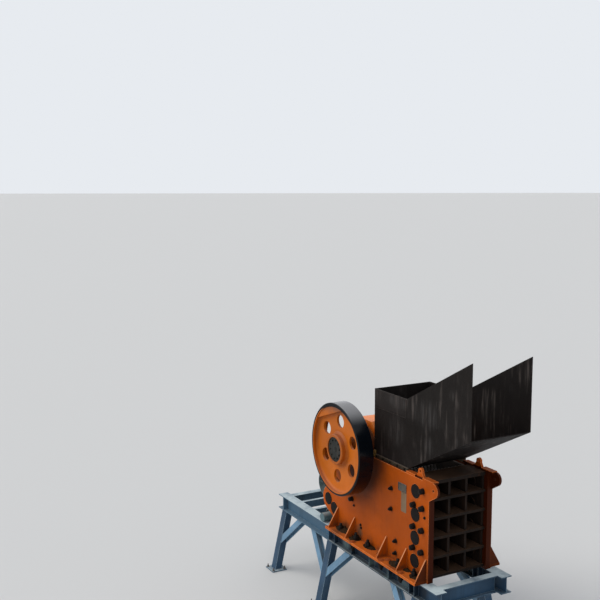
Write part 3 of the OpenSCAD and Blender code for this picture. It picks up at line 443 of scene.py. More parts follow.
def heap(cx, cy, ax, ay, h, base, seed, limit):
    """A heap of dirt: height h times a rounded cone of the distance from its middle, plus sines for lumps.

    limit (low x, high x, low y, high y) holds it in. Its border lies just under the face that carries it."""
    rng = np.random.default_rng(seed)
    across = np.linspace(max(cx - ax, limit[0]), min(cx + ax, limit[1]), 44)
    out = np.linspace(max(cy - ay, limit[2]), min(cy + ay, limit[3]), 30)
    x, y = np.meshgrid(across, out, indexing="ij")
    cone = np.clip(1 - np.sqrt(((x - cx) / ax) ** 2 + ((y - cy) / ay) ** 2), 0, 1)
    z = h * cone ** 0.9
    for _ in range(11):
        f = rng.uniform(22, 120, 2)
        lumps = np.sin(x * f[0] + rng.uniform(0, 6)) * np.sin(y * f[1] + rng.uniform(0, 6))
        z += h * 0.06 * lumps * cone ** 0.4
    return pillow(x, y, base + np.maximum(z, 0) - 0.004, np.full_like(x, base - 0.008))


def piece(name, shape, material, body="frame", smooth=40):
    """A new piece from points and faces, riding on body, smooth up to the given angle.

    Its doubles are merged and its faces turned outwards."""
    points, faces = shape
    mesh = bpy.data.meshes.new(name)
    mesh.from_pydata(np.round(points, 6).tolist(), [], [q for f in faces for q in f.tolist()])
    b = bmesh.new()
    b.from_mesh(mesh)
    bmesh.ops.remove_doubles(b, verts=b.verts, dist=1e-6)
    bmesh.ops.recalc_face_normals(b, faces=b.faces)
    b.to_mesh(mesh)
    b.free()
    mesh.shade_smooth()
    mesh.set_sharp_from_angle(angle=math.radians(smooth))
    mesh.materials.append(PAINTS[material])
    obj = bpy.data.objects.new(name, mesh)
    bpy.context.scene.collection.objects.link(obj)
    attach(obj, body)


def smooth_solid(obj):
    """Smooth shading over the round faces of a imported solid: doubles welded, edges past 32 degrees split."""
    obj.modifiers.new("weld", "WELD").merge_threshold = 1e-5
    split = obj.modifiers.new("split", "EDGE_SPLIT")
    split.split_angle = math.radians(32)
    split.use_edge_sharp = False
    obj.data.shade_smooth()


# ---------------------------------------------------------------- materials


class Nodes:
    """Short ways to place and join nodes in one tree."""

    def __init__(self, tree):
        self.tree = tree

    def add(self, kind, inputs=None, **settings):
        """A node of one kind, with its settings made and values or links put on its inputs."""
        node = self.tree.nodes.new(kind)
        for key, value in settings.items():
            setattr(node, key, value)
        for key, value in (inputs or {}).items():
            self.put(node.inputs[key], value)
        return node

    def put(self, socket, value):
        """Links a socket to another or gives it a plain value."""
        if isinstance(value, bpy.types.NodeSocket):
            self.tree.links.new(value, socket)
        else:
            socket.default_value = value

    def math(self, operation, a, b=0.0, clamp=False):
        return self.add("ShaderNodeMath", {0: a, 1: b}, operation=operation, use_clamp=clamp).outputs[0]

    def plus(self, a, b, clamp=False):
        return self.math("ADD", a, b, clamp)

    def times(self, first, *others):
        """The product of two or more values."""
        for other in others:
            first = self.math("MULTIPLY", first, other)
        return first

    def band(self, value, low, high, to_low=0.0, to_high=1.0, smooth=True):
        """A value led from low..high to to_low..to_high and held there."""
        inputs = {"Value": value, "From Min": low, "From Max": high, "To Min": to_low, "To Max": to_high}
        kind = "SMOOTHSTEP" if smooth else "LINEAR"
        return self.add("ShaderNodeMapRange", inputs, interpolation_type=kind).outputs[0]

    def mix(self, factor, a, b):
        """Colour a, or b where factor is 1."""
        node = self.add("ShaderNodeMix", {0: factor, 6: a, 7: b}, data_type="RGBA")
        return node.outputs[2]

    def noise(self, vector, scale, detail=4.0, rough=0.55):
        inputs = {"Vector": vector, "Scale": scale, "Detail": detail, "Roughness": rough}
        return self.add("ShaderNodeTexNoise", inputs).outputs["Fac"]

    def ragged(self, vector, scale, detail, rough, size):
        """Noise as wide as size, which makes a border ragged when it is added to a distance."""
        return self.times(self.noise(vector, scale, detail, rough), size)

    def scaled(self, vector, scale):
        return self.add("ShaderNodeMapping", {"Vector": vector, "Scale": scale}).outputs[0]

    def split(self, vector):
        """The X, Y and Z of a vector."""
        return self.add("ShaderNodeSeparateXYZ", {0: vector}).outputs

    def normal(self):
        return self.add("ShaderNodeNewGeometry").outputs["Normal"]

    def off_middle(self, parts):
        """The distance from the middle plane."""
        return self.math("ABSOLUTE", parts["Y"])

    def flat(self, parts):
        """A place with its Y taken out."""
        return self.add("ShaderNodeCombineXYZ", {"X": parts["X"], "Z": parts["Z"]}).outputs[0]

    def vector(self, operation, a, b=None):
        """One step of vector arithmetic, which may give a number."""
        inputs = {0: a} if b is None else {0: a, 1: b}
        number = operation in ("DISTANCE", "DOT_PRODUCT", "LENGTH")
        node = self.add("ShaderNodeVectorMath", inputs, operation=operation)
        return node.outputs["Value" if number else "Vector"]

    def group(self, name, **inputs):
        """The mask of one of the shared groups."""
        node = self.tree.nodes.new("ShaderNodeGroup")
        node.node_tree = GROUPS[name]
        for key, value in inputs.items():
            self.put(node.inputs[key], value)
        return node.outputs[0]


def rgba(tint, k=1.0):
    """A colour made k times as bright, with full alpha."""
    return (*(v * k for v in tint), 1.0)


def new_group(name, numbers, result):
    """An empty shader node group with a Vector input, number inputs by name and default, and one output.

    Returns the group, its nodes, the sockets of its inputs and the socket of its output."""
    tree = bpy.data.node_groups.new(name, "ShaderNodeTree")
    tree.interface.new_socket(name="Vector", in_out="INPUT", socket_type="NodeSocketVector")
    for label, default in numbers.items():
        socket = tree.interface.new_socket(name=label, in_out="INPUT", socket_type="NodeSocketFloat")
        socket.default_value = default
    tree.interface.new_socket(name=result, in_out="OUTPUT", socket_type="NodeSocketFloat")
    n = Nodes(tree)
    return tree, n, n.add("NodeGroupInput").outputs, n.add("NodeGroupOutput").inputs[result]


def edge_wear_and_highlight_group():
    """Mask that is 1 where the surface turns sharply outwards, for worn edges and, on some paints, painted
    highlights on them.

    It is the angle between the true normal and a normal rounded over Radius, broken up by noise."""
    tree, n, given, mask = new_group("edge wear", {"Radius": 0.015, "Breakup": 0.5}, "Mask")
    rounded = n.add("ShaderNodeBevel", {"Radius": given["Radius"]}, samples=4).outputs[0]
    sharp = n.band(n.vector("DOT_PRODUCT", rounded, n.normal()), 0.995, 0.86)
    torn = n.noise(given["Vector"], 9.0, 5.0, 0.65)
    limit = n.times(given["Breakup"], 0.62)
    n.put(mask, n.math("MULTIPLY", sharp, n.band(torn, limit, n.plus(limit, 0.14)), True))
    return tree


def dust_group():
    """Mask of settled dust: how far the face looks up, times coarse noise, plus a share on all faces."""
    numbers = {"Amount": 0.8, "Cling": 0.1, "Scale": 2.2}
    tree, n, given, mask = new_group("settled dust", numbers, "Mask")
    up = n.band(n.split(n.normal())["Z"], 0.25, 0.95)
    patches = n.noise(given["Vector"], given["Scale"], 6.0, 0.62)
    lying = n.times(up, given["Amount"], n.band(patches, 0.25, 0.6, 0.35, 1.0))
    fine = n.noise(n.scaled(given["Vector"], (1, 1, 0.45)), 5.0, 7.0, 0.7)
    cling = n.times(given["Cling"], n.band(fine, 0.42, 0.72))
    n.put(mask, n.plus(lying, cling, True))
    return tree


def streak_group():
    """Mask of upright runs: noise stretched along Z, cut to its peaks and broken again by wider noise."""
    tree, n, given, mask = new_group("upright streaks", {"Fine": 14.0, "Length": 0.05}, "Mask")
    squash = n.add("ShaderNodeCombineXYZ", {"X": 1.0, "Y": 1.0, "Z": given["Length"]}).outputs[0]
    lines = n.noise(n.vector("MULTIPLY", given["Vector"], squash), given["Fine"], 3.0, 0.55)
    wide = n.noise(given["Vector"], 1.1, 3.0, 0.5)
    n.put(mask, n.math("MULTIPLY", n.band(lines, 0.52, 0.72), n.band(wide, 0.38, 0.62), True))
    return tree


def grain_group():
    """Fine unevenness of rolled, cast or sprayed metal: two sizes of noise added, around a half."""
    tree, n, given, value = new_group("metal grain", {"Scale": 60.0, "Coarse": 0.4}, "Value")
    fine = n.noise(given["Vector"], given["Scale"], 3.0, 0.6)
    coarse = n.times(n.noise(given["Vector"], 3.5, 4.0, 0.5), given["Coarse"])
    n.put(value, n.plus(coarse, n.times(fine, n.math("SUBTRACT", 1.0, given["Coarse"]))))
    return tree


GROUPS = {}
PAINTS = {}

# Colours of the marks that the rules below lay over the paint
LOW_DIRT = (0.085, 0.036, 0.016, 1.0)
GREASE = (0.020, 0.010, 0.005, 1)
# Painted light for the foot flanges' tops
FLANGE_TOP_LIGHT = (0.66, 0.135, 0.004, 1)
# Painted shadow of the flywheel on the side plates, mixed with old grease
WHEEL_SHADE = (0.030, 0.010, 0.0035, 1)
# Painted highlight for the gussets' sloping edges
GUSSET_SLOPE_HIGHLIGHT = (0.60, 0.245, 0.105, 1)
# Painted shade for the side plates' front edges and inner faces
FRONT_EDGE_SHADE = (0.036, 0.0052, 0.0005, 1)
WEB_TOP_GREY = (0.105, 0.060, 0.045, 1)
# Painted shade for the corner of the wheels' dish
DISH_CORNER_SHADE = (0.20, 0.045, 0.006, 1)
HUB_RING_DARK = (0.22, 0.055, 0.010, 1)
RIM_BLACK = (0.0012, 0.0025, 0.0044, 1)
# Painted reflection of the sky on the black rim's top
RIM_SKY_REFLECTION = (0.24, 0.235, 0.235, 1)
SPIGOT_DARK, SPIGOT_BROWN = (0.0042, 0.0030, 0.0028, 1), (0.014, 0.0075, 0.0045, 1)
# Painted shade, with grease, for the stand under the feet and on the rear cross beam
BEAM_SHADE_AND_GREASE = (0.0065, 0.0115, 0.019, 1)
# Painted light for the beams behind the feet
BEAM_LIGHT = (0.085, 0.165, 0.235, 1)
# Painted light for patches on the beams' webs
BEAM_LIGHT_PATCH = (0.125, 0.185, 0.185, 1)
RIM_BAND = (0.035, 0.030, 0.028, 1)
CHUTE_RUB, CHUTE_BRIGHT = (0.040, 0.033, 0.030, 1), (0.085, 0.078, 0.076, 1)
# Painted shade for the chute's front walls and inner faces
CHUTE_FRONT_SHADE, CHUTE_INSIDE_SHADE = (0.0050, 0.0036, 0.0028, 1), (0.0050, 0.0036, 0.0034, 1)
YELLOW_PRIMER = (0.17, 0.105, 0.022, 1)


def foot_dirt(n, place, small, share):
    """A mask of dirt low on the side plates, strongest just over the foot flange."""
    height = n.split(place)["Z"]
    rise = n.band(height, FOOT_Z + 0.42, FOOT_Z + 0.04, 0.0, share)
    rise = n.times(rise, n.band(height, FOOT_Z + 0.062, FOOT_Z + 0.10, 0.3, 1.0))
    return n.times(rise, n.band(small, 0.36, 0.62, 0.1, 1.0))


def open_to_dust_and_light(n, place, floor):
    """How much dust the stand takes: all of it above floor, and some on the flange edges under the feet, where
    it is dust and painted highlight together.
    """
    parts = n.split(place)
    # The flange edges under the feet: dust and painted highlight along them
    lip = n.band(n.off_middle(parts), BEAM_Y + 0.10, BEAM_Y + 0.13, 0.0, 0.6)
    under = n.times(n.band(parts["X"], FOOT_X - 4.3, FOOT_X - 4.1), lip)
    return n.math("MAXIMUM", under, n.band(parts["Z"], floor - 0.04, floor, 0.12, 1.0))


def surface(
    name, base, dust, rust, rough=0.5, metal=0.0, spec=0.5, dusty=0.5, cling=0.12, worn=0.5, wear_and_highlight_colour=None,
    streaks=0.3, streak_colour=None, fade=0.25, grain=60.0, bump=0.15, region=None, last=None, gloss=None,
    dust_floor=None, low_dirt=0.0, streak_fine=14.0, streak_length=0.05, edge=0.015,
):
    """A worn finish: base fades and darkens in patches, streaks run down it, dust lies on its level faces.

    Its edges are worn to wear_and_highlight_colour, which on the orange paint and the legs' paint is a painted
    highlight as well as wear.
    region(nodes, position, colour socket) may repaint a part of it before the wear goes on, and last after it;
    each returns the new colour.
    gloss(nodes, position) gives a mask of glossy paint. Where dust_floor is given, dust lies only above it."""
    material = bpy.data.materials.new(name)
    material.use_nodes = True
    n = Nodes(material.node_tree)
    shader = material.node_tree.nodes["Principled BSDF"].inputs
    place = n.add("ShaderNodeTexCoord").outputs["Object"]
    large = n.noise(place, 0.9, 4.0, 0.55)
    small = n.noise(place, 7.0, 6.0, 0.65)
    tone = n.mix(n.band(large, 0.32, 0.68), rgba(base, 1 - fade), rgba(base, 1 + 0.35 * fade))
    tone = n.mix(n.band(small, 0.5, 0.75, 0.0, fade), tone, rgba(base, 0.55))
    if region:
        tone = region(n, place, tone)
    runs = n.group("streak", Vector=place, Fine=streak_fine, Length=streak_length)
    tone = n.mix(n.times(runs, streaks), tone, rgba(streak_colour or rust))
    if low_dirt:
        tone = n.mix(foot_dirt(n, place, small, low_dirt), tone, LOW_DIRT)
    wear = n.group("wear", Vector=place, Radius=edge, Breakup=1.0 - worn)
    tone = n.mix(n.times(wear, min(1.0, 0.35 + worn)), tone, rgba(wear_and_highlight_colour or rust))
    settled = n.group("dust", Vector=place, Amount=dusty, Cling=cling)
    if dust_floor is not None:
        settled = n.times(settled, open_to_dust_and_light(n, place, dust_floor))
    tone = n.mix(settled, tone, rgba(dust))
    if last:
        tone = last(n, place, tone)
    n.put(shader["Base Color"], tone)
    grit = n.group("grain", Vector=place, Scale=grain)
    dull = n.plus(n.band(grit, 0.3, 0.7, rough - 0.1, rough + 0.1, False), n.times(settled, 0.35), True)
    if gloss:
        shine = gloss(n, place)
        dull = n.times(dull, n.math("SUBTRACT", 1.0, n.times(shine, 0.5)))
        n.put(shader["Coat Weight"], n.times(shine, 0.22))
    n.put(shader["Roughness"], dull)
    shader["Coat Roughness"].default_value = 0.2
    shader["Specular IOR Level"].default_value = spec
    shader["Metallic"].default_value = metal
    height = n.plus(grit, n.times(settled, 0.6))
    relief = n.add("ShaderNodeBump", {"Strength": bump, "Distance": 0.004, "Height": height})
    n.put(shader["Normal"], relief.outputs[0])
    PAINTS[name] = material


def patch(n, flat, ragged, x, z, long, tall, share):
    """A ragged oval mask round plate place x, z, up to share strong."""
    apart = n.vector("SUBTRACT", flat, at(x, 0.0, z))
    size = n.vector("LENGTH", n.vector("MULTIPLY", apart, (1 / long, 1.0, 1 / tall)))
    return n.band(n.plus(size, ragged), 1.25, 0.45, 0.0, share)


def plate_stains_light_and_shadow(n, place, tone):
    """A region rule for the side plates: grease round bolts and spigots, smears and painted light on the foot
    flange's top.

    Last comes the flywheel's round brown painted shadow, mixed with old grease, on the plate behind it."""
    parts = n.split(place)
    flat, side = n.flat(parts), n.off_middle(parts)
    ragged = n.ragged(place, 16.0, 4.0, 0.6, 0.09)
    total = None
    for x, z in FRAME_BOLTS + SPIGOTS:
        far = n.vector("DISTANCE", flat, at(x, 0.0, z))
        spot = n.band(n.plus(far, ragged), 0.15, 0.06)
        total = spot if total is None else n.math("MAXIMUM", total, spot)
    tone = n.mix(n.times(total, 0.75), tone, GREASE)
    wide = n.ragged(place, 5.0, 5.0, 0.6, 0.5)
    # Painted light on the foot flange's top, which faces up
    level = n.band(parts["Z"], FOOT_Z + FLANGE_T + 0.015, FOOT_Z + FLANGE_T + 0.002, 0.0, 0.65)
    tone = n.mix(n.times(n.band(side, HALF_W + 0.002, HALF_W + 0.03), level), tone, FLANGE_TOP_LIGHT)
    for x, z, long, tall, share, smear in SMEARS:
        tone = n.mix(patch(n, flat, wide, x, z, long, tall, share), tone, smear)
    # Painted shadow of the flywheel, with old grease, round behind it on the side plate
    near = n.vector("DISTANCE", flat, at(WHEEL_SHADE_AT[0], 0.0, WHEEL_SHADE_AT[1]))
    shade = n.band(n.plus(near, n.times(wide, 0.35)), *WHEEL_SHADE_R, 0.0, WHEEL_SHADE_SHARE)
    return n.mix(n.times(shade, n.band(side, HALF_W + 0.03, HALF_W + 0.01)), tone, WHEEL_SHADE)


def front_shade(n, place, tone):
    """A last rule for the side plates: painted shade, dark red-brown, on the front edges and inner faces, and a
    painted highlight on the gusset slopes.
    """
    parts = n.split(place)
    side = n.off_middle(parts)
    facing = n.split(n.normal())
    # Painted highlight on the gussets' sloping edges, which face up and out
    slope = n.times(n.band(facing["Z"], 0.25, 0.4), n.band(n.off_middle(facing), 0.25, 0.4))
    slope = n.times(slope, n.band(side, HALF_W + 0.01, HALF_W + 0.03, 0.0, 0.8))
    tone = n.mix(slope, tone, GUSSET_SLOPE_HIGHLIGHT)
    # Painted shade on the front edges, which face +X, and on the plates' inner faces
    front = n.times(n.band(parts["X"], FOOT_X - 0.02, FOOT_X - 0.005), n.band(facing["X"], 0.3, 0.7))
    inside = n.band(side, HALF_W - 0.012, HALF_W - 0.03)
    upright = n.band(parts["Z"], FOOT_Z + 2.43, FOOT_Z + 2.39)
    share = n.band(side, HALF_W, HALF_W - 0.06, 0.86, 0.98)
    return n.mix(n.times(n.math("MAXIMUM", front, inside), upright, share), tone, FRONT_EDGE_SHADE)


def wheel_radius(n, place):
    """The distance of a place from the shaft's line, the place's parts and its height over the shaft."""
    parts = n.split(place)
    dx = n.math("SUBTRACT", parts["X"], SHAFT[0])
    dz = n.math("SUBTRACT", parts["Z"], SHAFT[1])
    return n.math("SQRT", n.plus(n.times(dx, dx), n.times(dz, dz))), parts, dz


def rim_mask(n, place):
    """A mask that is 1 on the round outside of a wheel's rim."""
    return n.band(wheel_radius(n, place)[0], WHEEL_R - 0.012, WHEEL_R - 0.006)


def wheel_web_tones_and_shade(n, place, tone):
    """A region rule for the wheels: the web's upper part greyer and darker, painted shade in the dish's corner
    and a darker ring round the hub.
    """
    r, parts, dz = wheel_radius(n, place)
    high = n.band(n.plus(dz, n.ragged(place, 6.0, 5.0, 0.65, 0.35)), 0.95, 1.25, 0.0, 0.7)
    tone = n.mix(high, tone, WEB_TOP_GREY)
    # Painted shade in the corner where the rim's inside meets the web, fading out low down
    sunk = n.band(n.off_middle(parts), RIM_FACE - 0.01, RIM_FACE - 0.09, 0.0, 0.6)
    corner = n.times(n.band(r, 0.96, RIM_IN_R - 0.01), sunk, n.band(dz, -0.45, 0.15))
    tone = n.mix(corner, tone, DISH_CORNER_SHADE)
    return n.mix(n.band(r, 0.50, 0.40, 0.0, 0.45), tone, HUB_RING_DARK)


def black_rim(n, place, tone):
    """A last rule for the wheels: black paint on the rim and its faces' outer edge, widened near the top as
    painted shade, and a painted sky reflection on the rim's top.
    """
    r, _, dz = wheel_radius(n, place)
    # The black reaches further in near the top: painted shade under the rim's inner top
    reach = n.plus(r, n.band(dz, 0.80, 1.08, 0.0, 0.05))
    tone = n.mix(n.band(reach, BLACK_R - 0.004, BLACK_R), tone, RIM_BLACK)
    # Painted reflection of the sky on the rim's top, which stays on top as the wheel turns
    up = n.split(n.normal())["Z"]
    return n.mix(n.times(n.band(up, 0.66, 0.93, 0.0, 0.92), rim_mask(n, place)), tone, RIM_SKY_REFLECTION)


def spigot_ends(n, place, tone):
    """A last rule for the frame castings: near-black grease on the spigots' ends in the side plates."""
    side = n.off_middle(n.split(place))
    blotch = n.band(n.noise(place, 14.0, 4.0, 0.6), 0.45, 0.7, 0.0, 0.5)
    return n.mix(n.band(side, HALF_W - 0.08, HALF_W - 0.05), tone, n.mix(blotch, SPIGOT_DARK, SPIGOT_BROWN))


def beam_shade_light_and_grease(n, place, tone):
    """A region rule for the stand: painted shade with grease under the feet, painted shade on the rear cross
    beam, painted light on the beams behind the feet and in patches on the webs.
    """
    parts = n.split(place)
    ragged = n.ragged(n.scaled(place, (1.0, 1.0, 0.3)), 5.0, 5.0, 0.6, 0.5)
    x = n.plus(parts["X"], ragged)
    # Painted shade, with grease, on the beams under the crusher's feet, and painted shade on the rear cross
    # beam
    under = n.times(n.band(x, FOOT_X - 4.0, FOOT_X - 3.7), n.band(x, FOOT_X + 0.45, FOOT_X + 0.2))
    beam = n.band(parts["Z"], FOOT_Z - BEAM_H - 0.06, FOOT_Z - BEAM_H + 0.02)
    rear = n.times(n.band(parts["X"], FOOT_X - 6.45, FOOT_X - 6.6), n.band(n.off_middle(parts), 0.80, 0.76))
    dark = n.math("MAXIMUM", n.times(under, beam, 0.8), n.times(rear, 0.7))
    tone = n.mix(dark, tone, BEAM_SHADE_AND_GREASE)
    # Painted light on the beams behind the feet, out of the crusher's shade
    lit_behind = n.band(parts["X"], FOOT_X - 4.05, FOOT_X - 4.35, 0.0, 0.6)
    tone = n.mix(n.times(lit_behind, beam), tone, BEAM_LIGHT)
    flat = n.flat(parts)
    # Painted patches of light on the webs, between the stiffeners' shade
    for x, z, long, tall, share in WEB_LIGHT_PATCHES:
        tone = n.mix(patch(n, flat, ragged, x, z, long, tall, share), tone, BEAM_LIGHT_PATCH)
    return tone


def chute_bands(n, place, tone):
    """A region rule for the chute: a paler band under the rim, rubbed patches below, painted shade on the walls
    ahead of the fold and on the inner faces.
    """
    parts = n.split(place)
    ragged = n.ragged(place, 2.4, 5.0, 0.6, 0.25)
    high = n.band(n.plus(parts["Z"], ragged), FOOT_Z + 3.76, FOOT_Z + 3.80, 0.0, 0.25)
    tone = n.mix(high, tone, RIM_BAND)
    rubbed = n.band(n.noise(n.scaled(place, (1.0, 1.0, 0.35)), 2.6, 6.0, 0.6), 0.56, 0.74, 0.0, 0.55)
    tone = n.mix(rubbed, tone, CHUTE_RUB)
    flat = n.flat(parts)
    combed = n.band(n.noise(n.scaled(place, (1.0, 1.0, 0.09)), 12.0, 4.0, 0.55), 0.44, 0.62, 0.15, 1.0)
    for x, z, long, tall, share in RUBBED:
        tone = n.mix(n.times(combed, patch(n, flat, ragged, x, z, long, tall, share)), tone, CHUTE_BRIGHT)
    # Painted shade on the sloping walls ahead of the fold
    ahead = n.band(parts["X"], FOOT_X - CHUTE_FOLD - 0.6, FOOT_X - CHUTE_FOLD + 0.5, 0.0, 0.6)
    tone = n.mix(ahead, tone, CHUTE_FRONT_SHADE)
    # Painted shade on the chute's inner faces
    inside = n.band(n.off_middle(parts), WALL_Y - 0.004, WALL_Y - 0.012, 0.0, 0.75)
    return n.mix(inside, tone, CHUTE_INSIDE_SHADE)


def bearer_tabs(n, place, tone):
    """A region rule for the bearers: yellow primer left at the upturned rear end only."""
    x = n.plus(n.split(place)["X"], n.ragged(place, 12.0, 4.0, 0.6, 0.05))
    return n.mix(n.band(x, FOOT_X - BEARER_REAR + 0.16, FOOT_X - BEARER_REAR + 0.13), tone, YELLOW_PRIMER)


def make_paints(c):
    """The shared groups, and all finishes of the crusher, the chute, the stand and the drive."""
    GROUPS.update(wear=edge_wear_and_highlight_group(), dust=dust_group(), streak=streak_group(), grain=grain_group())
    dust, rust = tuple(c.dust), tuple(c.rust)
    brown, grey = (0.20, 0.105, 0.055), (0.50, 0.57, 0.58)
    orange, blue = tuple(c.orange), tuple(c.blue)
    # The orange paint's pale salmon edges are wear and painted highlight together, brightest on the gussets
    surface(
        "orange_paint", orange, brown, rust, spec=0.09, dusty=0.22, cling=0.05, worn=0.55,
        wear_and_highlight_colour=(0.90, 0.29, 0.10), streaks=0.22, streak_colour=(0.10, 0.02, 0.003), fade=0.2, low_dirt=0.7,
        bump=0.1, region=plate_stains_light_and_shadow, last=front_shade, edge=0.02,
    )
    surface(
        "wheel_paint", tuple(c.wheel), (0.22, 0.20, 0.19), rust, rough=0.4, spec=0.12, dusty=0.3, cling=0.02,
        worn=0.2, wear_and_highlight_colour=(0.72, 0.25, 0.07), streaks=0.12, streak_colour=(0.20, 0.05, 0.01), fade=0.16,
        bump=0.06, region=wheel_web_tones_and_shade, last=black_rim, gloss=rim_mask,
    )
    # The cover's paint is a lighter copy of the jaw's: painted light on the cover's lit top
    for name, base in (("jaw_paint", (0.80, 0.155, 0.008)), ("lit_cover_paint", (0.95, 0.235, 0.020))):
        surface(
            name, base, dust, rust, rough=0.34, spec=0.35, dusty=0.05, cling=0.03, worn=0.35,
            wear_and_highlight_colour=(0.78, 0.34, 0.12), streaks=0.2, streak_colour=(0.2, 0.03, 0.004), fade=0.2, bump=0.08,
        )
    # The frame castings' very dark brown stands for their orange paint under dirt and in shade: painted shade
    # and dirt together
    surface(
        "cast_dust_and_shade", (0.0105, 0.0060, 0.0042), brown, rust, rough=0.7, spec=0.15, dusty=0.28, cling=0.05,
        worn=0.3, wear_and_highlight_colour=(0.035, 0.020, 0.014), streaks=0.25, fade=0.35, grain=35.0, bump=0.5,
        last=spigot_ends,
    )
    surface(
        "manganese", (0.085, 0.075, 0.068), dust, rust, rough=0.42, metal=0.75, dusty=0.3, cling=0.16, worn=0.7,
        wear_and_highlight_colour=(0.36, 0.35, 0.34), streaks=0.35, fade=0.3, grain=40.0, bump=0.35,
    )
    surface(
        "oiled_steel", (0.075, 0.075, 0.078), dust, rust, rough=0.36, metal=0.85, dusty=0.25, cling=0.16,
        worn=0.4, wear_and_highlight_colour=(0.3, 0.3, 0.3), streaks=0.2, fade=0.3, bump=0.12,
    )
    surface(
        "black_cap", (0.0115, 0.0130, 0.0110), dust, rust, spec=0.2, dusty=0.05, cling=0.03, worn=0.25,
        wear_and_highlight_colour=(0.06, 0.055, 0.045), streaks=0.2, fade=0.3,
    )
    surface("spring_paint", (0.020, 0.020, 0.022), dust, rust, rough=0.45, dusty=0.3, worn=0.3, streaks=0.2)
    surface(
        "chute_steel", tuple(c.chute), (0.13, 0.11, 0.09), rust, rough=0.62, spec=0.1, dusty=0.2, cling=0.02,
        worn=0.4, wear_and_highlight_colour=(0.045, 0.038, 0.034), streaks=0.8, streak_colour=(0.070, 0.058, 0.052), fade=0.3,
        grain=28.0, bump=0.3, region=chute_bands, streak_fine=8.0, streak_length=0.12,
    )
    surface(
        "bearer_steel", (0.022, 0.017, 0.008), dust, rust, rough=0.6, spec=0.3, dusty=0.3, cling=0.1, worn=0.4,
        streaks=0.4, region=bearer_tabs,
    )
    surface(
        "blue_paint", blue, grey, rust, spec=0.25, dusty=0.95, cling=0.05, worn=0.45,
        wear_and_highlight_colour=(0.17, 0.25, 0.30), streaks=0.4, streak_colour=(0.012, 0.020, 0.028), fade=0.28, bump=0.12,
        edge=0.014, region=beam_shade_light_and_grease, dust_floor=FOOT_Z - 0.06,
    )
    # The braces' paint is a much lighter copy of the blue: painted light on their sky-lit faces
    surface(
        "lit_brace_paint", tuple(v * k for v, k in zip(blue, (5.4, 3.8, 3.0))), grey, rust, spec=0.25, dusty=0.6,
        cling=0.08, worn=0.45, wear_and_highlight_colour=(0.25, 0.35, 0.42), streaks=0.35,
        streak_colour=(0.014, 0.022, 0.032), bump=0.12, edge=0.012,
    )
    # The legs' strong pale edge wear is also a painted highlight along their lit edges
    surface(
        "leg_paint", blue, grey, rust, spec=0.25, dusty=0.6, cling=0.05, worn=0.75,
        wear_and_highlight_colour=(0.24, 0.33, 0.39), streaks=0.4, streak_colour=(0.012, 0.020, 0.028), fade=0.28, bump=0.12,
        edge=0.022,
    )
    surface(
        "teal_paint", tuple(c.teal), (0.30, 0.30, 0.27), rust, rough=0.45, spec=0.4, dusty=0.45, cling=0.1,
        worn=0.25, wear_and_highlight_colour=(0.14, 0.19, 0.19), streaks=0.25, fade=0.2,
    )
    surface("stop_pipe", (0.060, 0.125, 0.145), (0.34, 0.36, 0.34), rust, dusty=0.6, cling=0.15, worn=0.4)
    surface(
        "belt_rubber", (0.014, 0.014, 0.014), dust, (0.03, 0.028, 0.026), rough=0.62, dusty=0.25, cling=0.2,
        worn=0.2, wear_and_highlight_colour=(0.05, 0.05, 0.05), streaks=0.1, fade=0.2,
    )
    surface(
        "greasy_nut", (0.0060, 0.0042, 0.0034), (0.035, 0.022, 0.015), rust, rough=0.45, spec=0.15, dusty=0.15,
        cling=0.03, worn=0.2, wear_and_highlight_colour=(0.035, 0.026, 0.020), streaks=0.0, fade=0.3, bump=0.25, edge=0.006,
    )
    surface(
        "steel_nut", (0.11, 0.105, 0.10), dust, rust, rough=0.42, metal=0.8, dusty=0.3, cling=0.2, worn=0.4,
        wear_and_highlight_colour=(0.35, 0.34, 0.32), edge=0.004,
    )
    surface(
        "orange_bead", tuple(v * 0.85 for v in orange), brown, rust, rough=0.45, spec=0.25, dusty=0.3,
        cling=0.2, worn=0.2, bump=0.2,
    )
    surface(
        "blue_bead", tuple(v * 0.9 for v in blue), grey, rust, spec=0.35, dusty=0.2, cling=0.15, worn=0.2,
        bump=0.2,
    )
    surface(
        "chute_bead", (0.018, 0.013, 0.011), dust, rust, rough=0.55, spec=0.3, dusty=0.2, cling=0.08, worn=0.2,
        streaks=0.4, bump=0.2,
    )
    surface(
        "bare_plate", (0.23, 0.14, 0.070), dust, rust, rough=0.4, spec=0.3, metal=0.2, dusty=0.3, cling=0.2,
        worn=0.3, wear_and_highlight_colour=(0.36, 0.28, 0.20), streaks=0.35, fade=0.3, bump=0.08, edge=0.003,
    )
    for name, base in (("bare_plate_dark", (0.030, 0.032, 0.034)), ("bare_plate_field", (0.085, 0.075, 0.058))):
        surface(
            name, base, dust, rust, rough=0.4, metal=0.3, dusty=0.3, cling=0.2, worn=0.4,
            wear_and_highlight_colour=(0.3, 0.26, 0.2), streaks=0.2, edge=0.004,
        )
    surface(
        "dirt", (0.020, 0.011, 0.005), (0.060, 0.036, 0.020), (0.03, 0.02, 0.014), rough=0.95, spec=0.05,
        dusty=0.35, cling=0.2, worn=0.3, wear_and_highlight_colour=(0.07, 0.04, 0.022), streaks=0.1, fade=0.5, grain=25.0,
        bump=1.0,
    )
    surface("red_eye", (0.16, 0.022, 0.010), dust, rust, spec=0.4, dusty=0.3, cling=0.15, worn=0.3, streaks=0.2)


